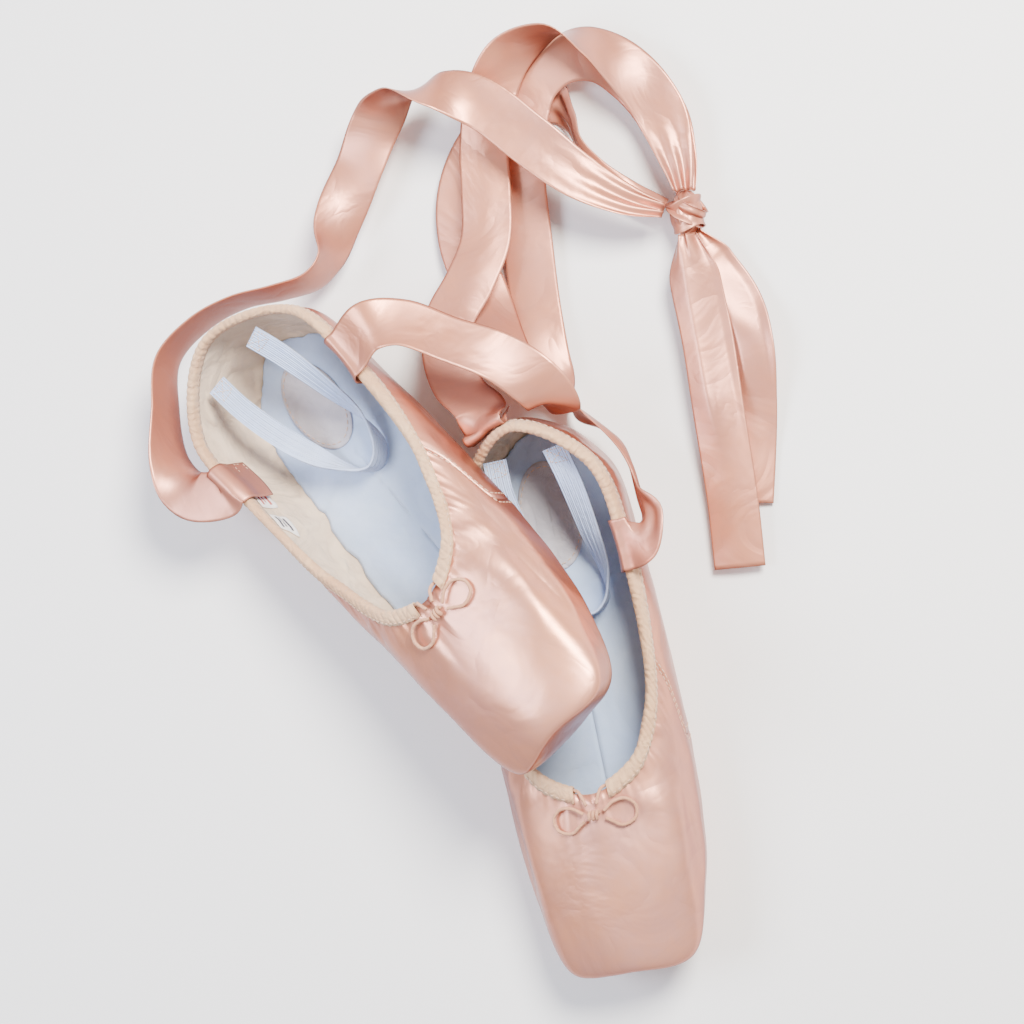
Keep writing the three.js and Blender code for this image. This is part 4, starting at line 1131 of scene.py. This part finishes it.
# ---------------------------------------------------------------- ribbons
RIBBON_WIDTH = 22.0
RIBBON_THICKNESS = 0.5
SEWN_INSIDE = [(-5.6, -13), (-4.4, -5), (-4.2, 1.8), (-0.9, 5.0), (2.8, 4.0)]
SEWN_OUTSIDE = [(2.0, -16), (2.6, -6), (4.4, 0)]
RIBBONS = {
    "a_ribbon_right": ("a", 24, SEWN_INSIDE, [
        (-168, 78, 40, -68, 14), (-180, 92, 34, -110, 56), (-185, 116, 28, -175, 80),
        (-184, 138, 28, 145, 82), (-169, 154, 28, 125, 82), (-151, 163, 28, 105, 82),
        (-133, 167, 27, 95, 80), (-118, 172, 25, 105, 80), (-112, 180, 22, 160, 80),
        (-109, 198, 17, 172, 40), (-100, 222, 14, 155, 0), (-91, 241, 17, 142, 25),
        (-79, 252, 26, 112, 82), (-62, 252, 32, 262, 40), (-41, 245, 31, 246, 0),
        (-20, 229, 30, 236, 0), (1, 213, 28, 238, 8, 0.9), (21, 203, 23, 255, 15, 0.65),
        (36.2, 199, 18, 265, 20, 0.35)]),
    "a_ribbon_left": ("a", 11.5, SEWN_INSIDE, [
        (-80, 147, 69, -60, 5), (-66, 149, 67, -88, 25), (-46, 142, 64, -98, 30),
        (-25, 134, 60, -112, 20), (-10, 123, 55, -130, 0), (-5, 115, 47, -180, 0),
        (-17, 119, 38, -215, 0), (-32, 142, 23, -210, 0), (-44, 165, 10, -200, 0),
        (-55, 190, 5, -182, 0), (-56, 210, 4, -178, 0), (-49, 229, 4, -200, 0), (-36, 243, 4, -215, 0),
        (-26, 248.5, 4, -235, 0), (-14, 249, 4, -262, 0, 0.8), (-6, 240, 9, -305, 60, 0.7),
        (-1.5, 229, 11.5, -327, 76, 0.7), (8, 217, 11, -320, 62, 0.6), (20, 208, 9, -302, 40, 0.5),
        (35, 201, 7, -280, 20, 0.35)]),
    "b_ribbon_right": ("b", 19.2, SEWN_OUTSIDE, [
        (-38, 114, 42, -140, 30), (-50, 124, 32, 190, 15), (-57, 140, 25, 180, 0),
        (-56, 154, 24, 176, 0), (-48, 170, 21, 170, 0), (-42, 189, 16, 178, 0),
        (-42, 208, 15, 178, 0), (-43, 228, 15, 180, 0), (-40, 249, 17, 160, 10),
        (-31, 266, 21, 140, 40), (-14, 275, 25, 96, 82), (3, 272, 22, 262, 50),
        (19, 261, 17, 235, 20), (33, 243, 13, 205, 0), (41, 221, 14, 190, 10, 0.7),
        (44, 207.4, 16, 185, 15, 0.4)]),
    "b_ribbon_left": ("b", 11.3, SEWN_INSIDE, [
        (30, 60, 45.5, -66, 14), (33.5, 67.5, 45, -40, 42, 0.8), (28.5, 78, 36, 10, 78, 0.75),
        (24, 90, 32, 60, 82, 0.7), (18, 100, 28, 135, 78, 0.7), (7, 109, 22, 125, 70, 0.9),
        (-6, 117, 17, 120, 45), (-15, 131, 11, 165, 10), (-21, 154, 6, 182, 0), (-25, 184, 6, 180, 0),
        (-28, 215, 8, 178, 0), (-27, 238, 9.5, 172, 0), (-22, 256, 10.5, 158, 0), (-10, 266, 11, 117, 0),
        (6, 267, 9, 76, 0), (20, 258, 4, 46, 0), (33, 242, 4, 30, 0), (41, 222, 5, 15, 0, 0.7),
        (44, 207.6, 7, 10, 0, 0.4)]),
}
TAILS = {
    "ribbon_tail_front": ("tail_front", [
        (46, 188.9, 15, 5, 20, 0.4), (49, 169, 13, 2, 5), (54, 144, 11, -4, 0),
        (59, 110, 9, -4, 0), (64, 76, 7, -3, 0), (67, 47, 5, -3, 0)]),
    "ribbon_tail_back": ("tail_back", [
        (47, 190.3, 8, 10, 20, 0.4), (54, 177, 6, 20, 10), (65, 161, 6, 30, 5),
        (72, 142, 7, 10, 25), (72, 119, 4, -5, 10), (71, 95, 2.5, -8, 0), (70, 75, 2, -8, 0)]),
}


def sewn_stops(last, column, profile):
    """Stops of a ribbon's sewn end, up the wall and over the rim."""
    at, out, up = last.rim(column)
    ahead = last.rim(column + 0.5)[0] - last.rim(column - 0.5)[0]
    across = turned(ahead, last.matrix)
    return [(carried(at + out * o + up * u, last.matrix), across, 1.0) for o, u in profile]


def run_ribbon(name, seed):
    """One ankle ribbon from its shoe to the shared knot."""
    prefix, column, profile, route = RIBBONS[name]
    free = [stop(values) for values in route]
    sewn = sewn_stops(LASTS[prefix], column, profile)
    if sewn[-1][1] @ free[0][1] < 0:
        sewn = [(place, -across, gather) for place, across, gather in sewn]
    piece, length = band(name + "_satin", sewn + free, RIBBON_WIDTH * MM, RIBBON_THICKNESS * MM,
                         10, 19, cup=0.035, wave=0.0005, seed=seed)
    dress(piece, made_of("ribbon"), "ribbon", ROOT, name)
    place, across, _ = sewn[0]
    other = sewn[1][0]
    out = turned(LASTS[prefix].rim(column)[1], LASTS[prefix].matrix)
    threads = []
    for side in (1, -1):
        corners = [place + (other - place) * u + across * v * MM + out * side * 0.0007
                   for u, v in ((0.12, -9.6), (0.12, 9.6), (0.85, 9.6), (0.85, -9.6), (0.12, -9.6))]
        for p, q in zip(corners, corners[1:]):
            threads += dashes(np.array([p, q]), 0.002, 0.6)
    stitches = thread_piece(name + "_stitches", threads, 0.00018)
    dress(stitches, made_of("stitch"), "cord", ROOT)


def run_tail(name, seed):
    """One free ribbon end below the knot."""
    body, route = TAILS[name]
    piece, length = band(name + "_satin", [stop(values) for values in route], RIBBON_WIDTH * MM,
                         RIBBON_THICKNESS * MM, 14, 27, cup=0.03, wave=0.0006, seed=seed,
                         roof=0.2, roof_ends=(-0.1, 0.72))
    dress(piece, made_of("ribbon"), "ribbon", body, name)


KNOT = np.array([44.8, 198.0, 12.0])
KNOT_CORE = (6.6, 9.4, 6.6)
# name, tilt, lean, share of the ribbon's width, sideways and upward size, shift, seed
KNOT_WRAPS = (("ribbon_knot_collar", 14, 8, 0.58, (7.2, 7.2), -0.6, 5),
              ("ribbon_knot_strand", -38, 20, 0.34, (8.2, 7.9), 2.4, 8))


def tie_knot():
    """The ribbons' shared knot: a folded core, a collar round it and a strand over the top."""
    count, around = 72, 96
    v = np.linspace(0.001, math.pi - 0.001, count)[:, None]
    u = np.linspace(0, 2 * math.pi, around, endpoint=False)[None]
    unit = np.stack(np.broadcast_arrays(np.sin(v) * np.cos(u), -np.cos(v) + 0 * u,
                                        np.sin(v) * np.sin(u)), axis=2)
    folds = np.cos(6 * u + 2.4 * np.cos(v) + ripples(unit, 1.5, 71)) * np.sin(v)
    core = unit * KNOT_CORE * (1 + 0.07 * folds[..., None])
    piece = tube("ribbon_knot_core", (KNOT + core)[:, ::-1] * MM)
    dress(piece, made_of("ribbon"), "ribbon", ROOT, "ribbon_knot")
    for name, tilt, lean, wide, size, shift, seed in KNOT_WRAPS:
        axis = Vector((0, 1, 0))
        axis.rotate(Matrix.Rotation(math.radians(tilt), 3, "Z")
                    @ Matrix.Rotation(math.radians(lean), 3, "X"))
        axis = np.array(axis)
        side = np.cross(axis, (0, 0, 1))
        side /= np.linalg.norm(side)
        rise = np.cross(side, axis)
        stops = []
        for k in range(15):
            t = 2 * math.pi * (k / 13.0) - math.pi / 2
            place = KNOT + axis * (shift + 0.8 * math.sin(2 * t)) + side * size[0] * math.cos(t) \
                + rise * size[1] * math.sin(t) * (1.0 - 0.05 * (k > 12))
            stops.append((place * MM, axis, wide))
        wrap, _ = band(name, stops, RIBBON_WIDTH * MM, RIBBON_THICKNESS * MM, 8, 25, cup=0.06,
                       wave=0.0003, seed=seed, fold=0.045, folds=1.6)
        dress(wrap, made_of("ribbon"), "ribbon", ROOT)


# ---------------------------------------------------------------- studio
CAMERA_TARGET = np.array([-27.08, 70.73, 30]) * MM
CAMERA_DISTANCE = 0.9
CAMERA_TILT = math.radians(13)
HALF_VIEW = 512 * 0.425 * MM


def place_camera():
    """The camera above the pair, tilted a little to its right."""
    back = Vector((math.sin(CAMERA_TILT), 0, math.cos(CAMERA_TILT)))
    right = Vector((0, 1, 0)).cross(back).normalized()
    up = back.cross(right)
    data = bpy.data.cameras.new("pair_camera")
    data.angle = 2 * math.atan(HALF_VIEW / CAMERA_DISTANCE)
    camera = bpy.data.objects.new("pair_camera", data)
    rotation = Matrix((right, up, back)).transposed().to_4x4()
    camera.matrix_world = Matrix.Translation(Vector(CAMERA_TARGET) + back * CAMERA_DISTANCE) @ rotation
    bpy.context.scene.collection.objects.link(camera)
    bpy.context.scene.camera = camera


def floor_material(settings):
    """Matt white paper with a faint tooth."""
    material = bpy.data.materials.new("studio paper")
    material.use_nodes = True
    n = Nodes(material.node_tree)
    surface = material.node_tree.nodes["Principled BSDF"]
    place = n.add("ShaderNodeTexCoord").outputs["Object"]
    grain = n.noise(place, 700.0, 4.0)
    n.feed(surface, "Base Color", n.mix(grain, linear(settings.floor), linear((0.985, 0.985, 0.985))))
    n.feed(surface, "Roughness", 0.9)
    n.feed(surface, "Normal", n.add("ShaderNodeBump", {"Height": grain, "Strength": 0.03,
                                                       "Distance": 0.0002}).outputs[0])
    return material


def area_light(name, place, target, size, power, colour):
    """A round soft light aimed at a point."""
    data = bpy.data.lights.new(name, "AREA")
    data.shape = "DISK"
    data.size = size
    data.energy = power
    data.color = colour
    light = bpy.data.objects.new(name, data)
    light.location = place
    light.rotation_euler = (Vector(target) - Vector(place)).to_track_quat("-Z", "Y").to_euler()
    bpy.context.scene.collection.objects.link(light)
    return light


FLOOR_HALF = 1.6
KEY_PLACE, KEY_SIZE = (0.42, 0.62, 0.95), 0.45
FILL_PLACE, FILL_SIZE = (-0.75, 0.05, 0.95), 0.6
WARM_WHITE, COOL_WHITE = (1.0, 0.95, 0.88), (0.82, 0.86, 1.0)


def light_studio(settings):
    """Pale floor, soft key from the right, cooler fill from the left and an even sky."""
    low = CAD_BOX[0][2]
    corners = [(-FLOOR_HALF, -FLOOR_HALF, low), (FLOOR_HALF, -FLOOR_HALF, low),
               (FLOOR_HALF, FLOOR_HALF, low), (-FLOOR_HALF, FLOOR_HALF, low)]
    floor = new_piece("studio_floor", corners, [(0, 1, 2, 3)])
    floor.data.materials.append(floor_material(settings))
    centre = tuple(CAMERA_TARGET)
    key = area_light("key_light", KEY_PLACE, centre, KEY_SIZE, settings.key_power, WARM_WHITE)
    fill = area_light("fill_light", FILL_PLACE, centre, FILL_SIZE, settings.fill_power, COOL_WHITE)
    world = bpy.data.worlds.new("studio sky")
    world.use_nodes = True
    sky = world.node_tree.nodes["Background"]
    sky.inputs["Color"].default_value = linear((0.97, 0.97, 0.99))
    sky.inputs["Strength"].default_value = settings.sky_strength
    bpy.context.scene.world = world


# ---------------------------------------------------------------- settings
def colour_setting(name, description, default):
    """A colour setting of the add-on."""
    return bpy.props.FloatVectorProperty(name=name, description=description, default=default,
                                         subtype="COLOR_GAMMA", size=3, min=0.0, max=1.0)


class PointeShoeSettings(bpy.types.PropertyGroup):
    """Colours and lights of the pair."""

    satin: colour_setting("Satin", "Colour of the uppers where they catch the light",
                          (0.94, 0.64, 0.48))
    satin_shade: colour_setting("Satin shade", "Second colour of the uppers", (0.87, 0.62, 0.54))
    # Painted shade of the satin, mixed in where it turns away from the view.
    satin_painted_edge_shade: colour_setting("Satin edge", "Colour of the uppers where they turn away",
                               (0.56, 0.27, 0.18))
    ribbon: colour_setting("Ribbon", "Colour of the ribbons", (0.88, 0.58, 0.44))
    ribbon_shade: colour_setting("Ribbon shade", "Second colour of the ribbons",
                                 (0.82, 0.56, 0.47))
    # Painted shade of the ribbons, mixed in where they turn away from the view.
    ribbon_painted_edge_shade: colour_setting("Ribbon edge", "Colour of the ribbons where they turn away",
                                (0.55, 0.28, 0.20))
    lining: colour_setting("Lining", "Colour of the cotton lining", (0.92, 0.83, 0.73))
    sock: colour_setting("Sock", "Colour of the sock inside", (0.77, 0.84, 0.94))
    floor: colour_setting("Floor", "Colour of the studio floor", (0.98, 0.98, 0.98))
    satin_rough: bpy.props.FloatProperty(
        name="Satin roughness", description="How blurred the satin's shine is", default=0.34,
        min=0.05, max=1.0, subtype="FACTOR")
    key_power: bpy.props.FloatProperty(
        name="Key light", description="Power of the main light", default=42.0, min=0.0,
        unit="POWER")
    fill_power: bpy.props.FloatProperty(
        name="Fill light", description="Power of the light from the left", default=16.0, min=0.0,
        unit="POWER")
    sky_strength: bpy.props.FloatProperty(
        name="Sky", description="Strength of the even light from all round", default=0.6,
        min=0.0)


# ---------------------------------------------------------------- operators
class BuildStep(bpy.types.Operator):
    """Base of the build steps"""

    bl_idname = "pointe.step"
    bl_label = "Step"

    def execute(self, context):
        """Runs the step; anything wrong stops the build with its own error."""
        self.make(context.scene.pointe_shoes)
        return {"FINISHED"}

    def make(self, settings):
        """The step's own work."""
        raise NotImplementedError(self.bl_idname)


class POINTE_OT_camera(BuildStep):
    """Place the camera above the pair"""

    bl_idname = "pointe.camera"
    bl_label = "Place camera"

    def make(self, settings):
        place_camera()


class POINTE_OT_drawstrings(BuildStep):
    """Thread the drawstrings and tie their bows"""

    bl_idname = "pointe.drawstrings"
    bl_label = "Thread drawstrings"

    def make(self, settings):
        for prefix in LASTS:
            thread_drawstring(prefix)
            tie_bow(prefix)


class POINTE_OT_uppers(BuildStep):
    """Sew the satin uppers and their seams"""

    bl_idname = "pointe.uppers"
    bl_label = "Sew uppers"

    def make(self, settings):
        for prefix in LASTS:
            sew_uppers(prefix)
            sew_seams(prefix)


class POINTE_OT_bindings(BuildStep):
    """Gather the binding round both openings"""

    bl_idname = "pointe.bindings"
    bl_label = "Gather bindings"

    def make(self, settings):
        for prefix in LASTS:
            gather_binding(prefix)
            stitch_binding(prefix)


class POINTE_OT_insides(BuildStep):
    """Lay toe blocks, linings, labels, socks and heel pads"""

    bl_idname = "pointe.insides"
    bl_label = "Line shoes"

    def make(self, settings):
        for prefix in LASTS:
            glue_box(prefix)
            lay_lining(prefix)
            sew_labels(prefix)
            lay_sock(prefix)
            lay_heel_pad(prefix)


class POINTE_OT_soles(BuildStep):
    """Cut shanks and leather soles"""

    bl_idname = "pointe.soles"
    bl_label = "Cut soles"

    def make(self, settings):
        for prefix in LASTS:
            cut_shank(prefix)
            cut_outsole(prefix)


class POINTE_OT_elastics(BuildStep):
    """Sew the elastic loops"""

    bl_idname = "pointe.elastics"
    bl_label = "Sew elastics"

    def make(self, settings):
        for prefix in LASTS:
            sew_elastic(prefix)


class POINTE_OT_ribbons(BuildStep):
    """Run the four ribbons, tie their knot and lay its tails"""

    bl_idname = "pointe.ribbons"
    bl_label = "Run ribbons"

    def make(self, settings):
        for seed, name in enumerate(RIBBONS):
            run_ribbon(name, 101 + seed)
        for seed, name in enumerate(TAILS):
            run_tail(name, 111 + seed)
        tie_knot()


class POINTE_OT_stage(BuildStep):
    """Set up the pale floor and the soft lights"""

    bl_idname = "pointe.stage"
    bl_label = "Light studio"

    def make(self, settings):
        light_studio(settings)


STEPS_IN_ORDER = (POINTE_OT_camera, POINTE_OT_drawstrings, POINTE_OT_uppers, POINTE_OT_bindings,
                  POINTE_OT_insides, POINTE_OT_soles, POINTE_OT_elastics, POINTE_OT_ribbons,
                  POINTE_OT_stage)


class POINTE_PT_panel(bpy.types.Panel):
    """Sidebar panel of the pair"""

    bl_idname = "POINTE_PT_panel"
    bl_label = "Pointe Shoes"
    bl_space_type = "VIEW_3D"
    bl_region_type = "UI"
    bl_category = "Pointe Shoes"

    def draw(self, context):
        """Settings first, then one button for each step."""
        settings = context.scene.pointe_shoes
        for key in PointeShoeSettings.__annotations__:
            self.layout.prop(settings, key)
        for step in STEPS_IN_ORDER:
            self.layout.operator(step.bl_idname)


def register():
    """Adds the add-on's classes and settings."""
    for item in (PointeShoeSettings, *STEPS_IN_ORDER, POINTE_PT_panel):
        bpy.utils.register_class(item)
    bpy.types.Scene.pointe_shoes = bpy.props.PointerProperty(type=PointeShoeSettings)


def unregister():
    """Takes them away again."""
    del bpy.types.Scene.pointe_shoes
    for item in reversed((PointeShoeSettings, *STEPS_IN_ORDER, POINTE_PT_panel)):
        bpy.utils.unregister_class(item)


def main():
    """Builds everything in order."""
    register()
    bpy.ops.pointe.camera()
    bpy.ops.pointe.drawstrings()
    bpy.ops.pointe.uppers()
    bpy.ops.pointe.bindings()
    bpy.ops.pointe.insides()
    bpy.ops.pointe.soles()
    bpy.ops.pointe.elastics()
    bpy.ops.pointe.ribbons()
    bpy.ops.pointe.stage()


if __name__ == "__main__":
    main()
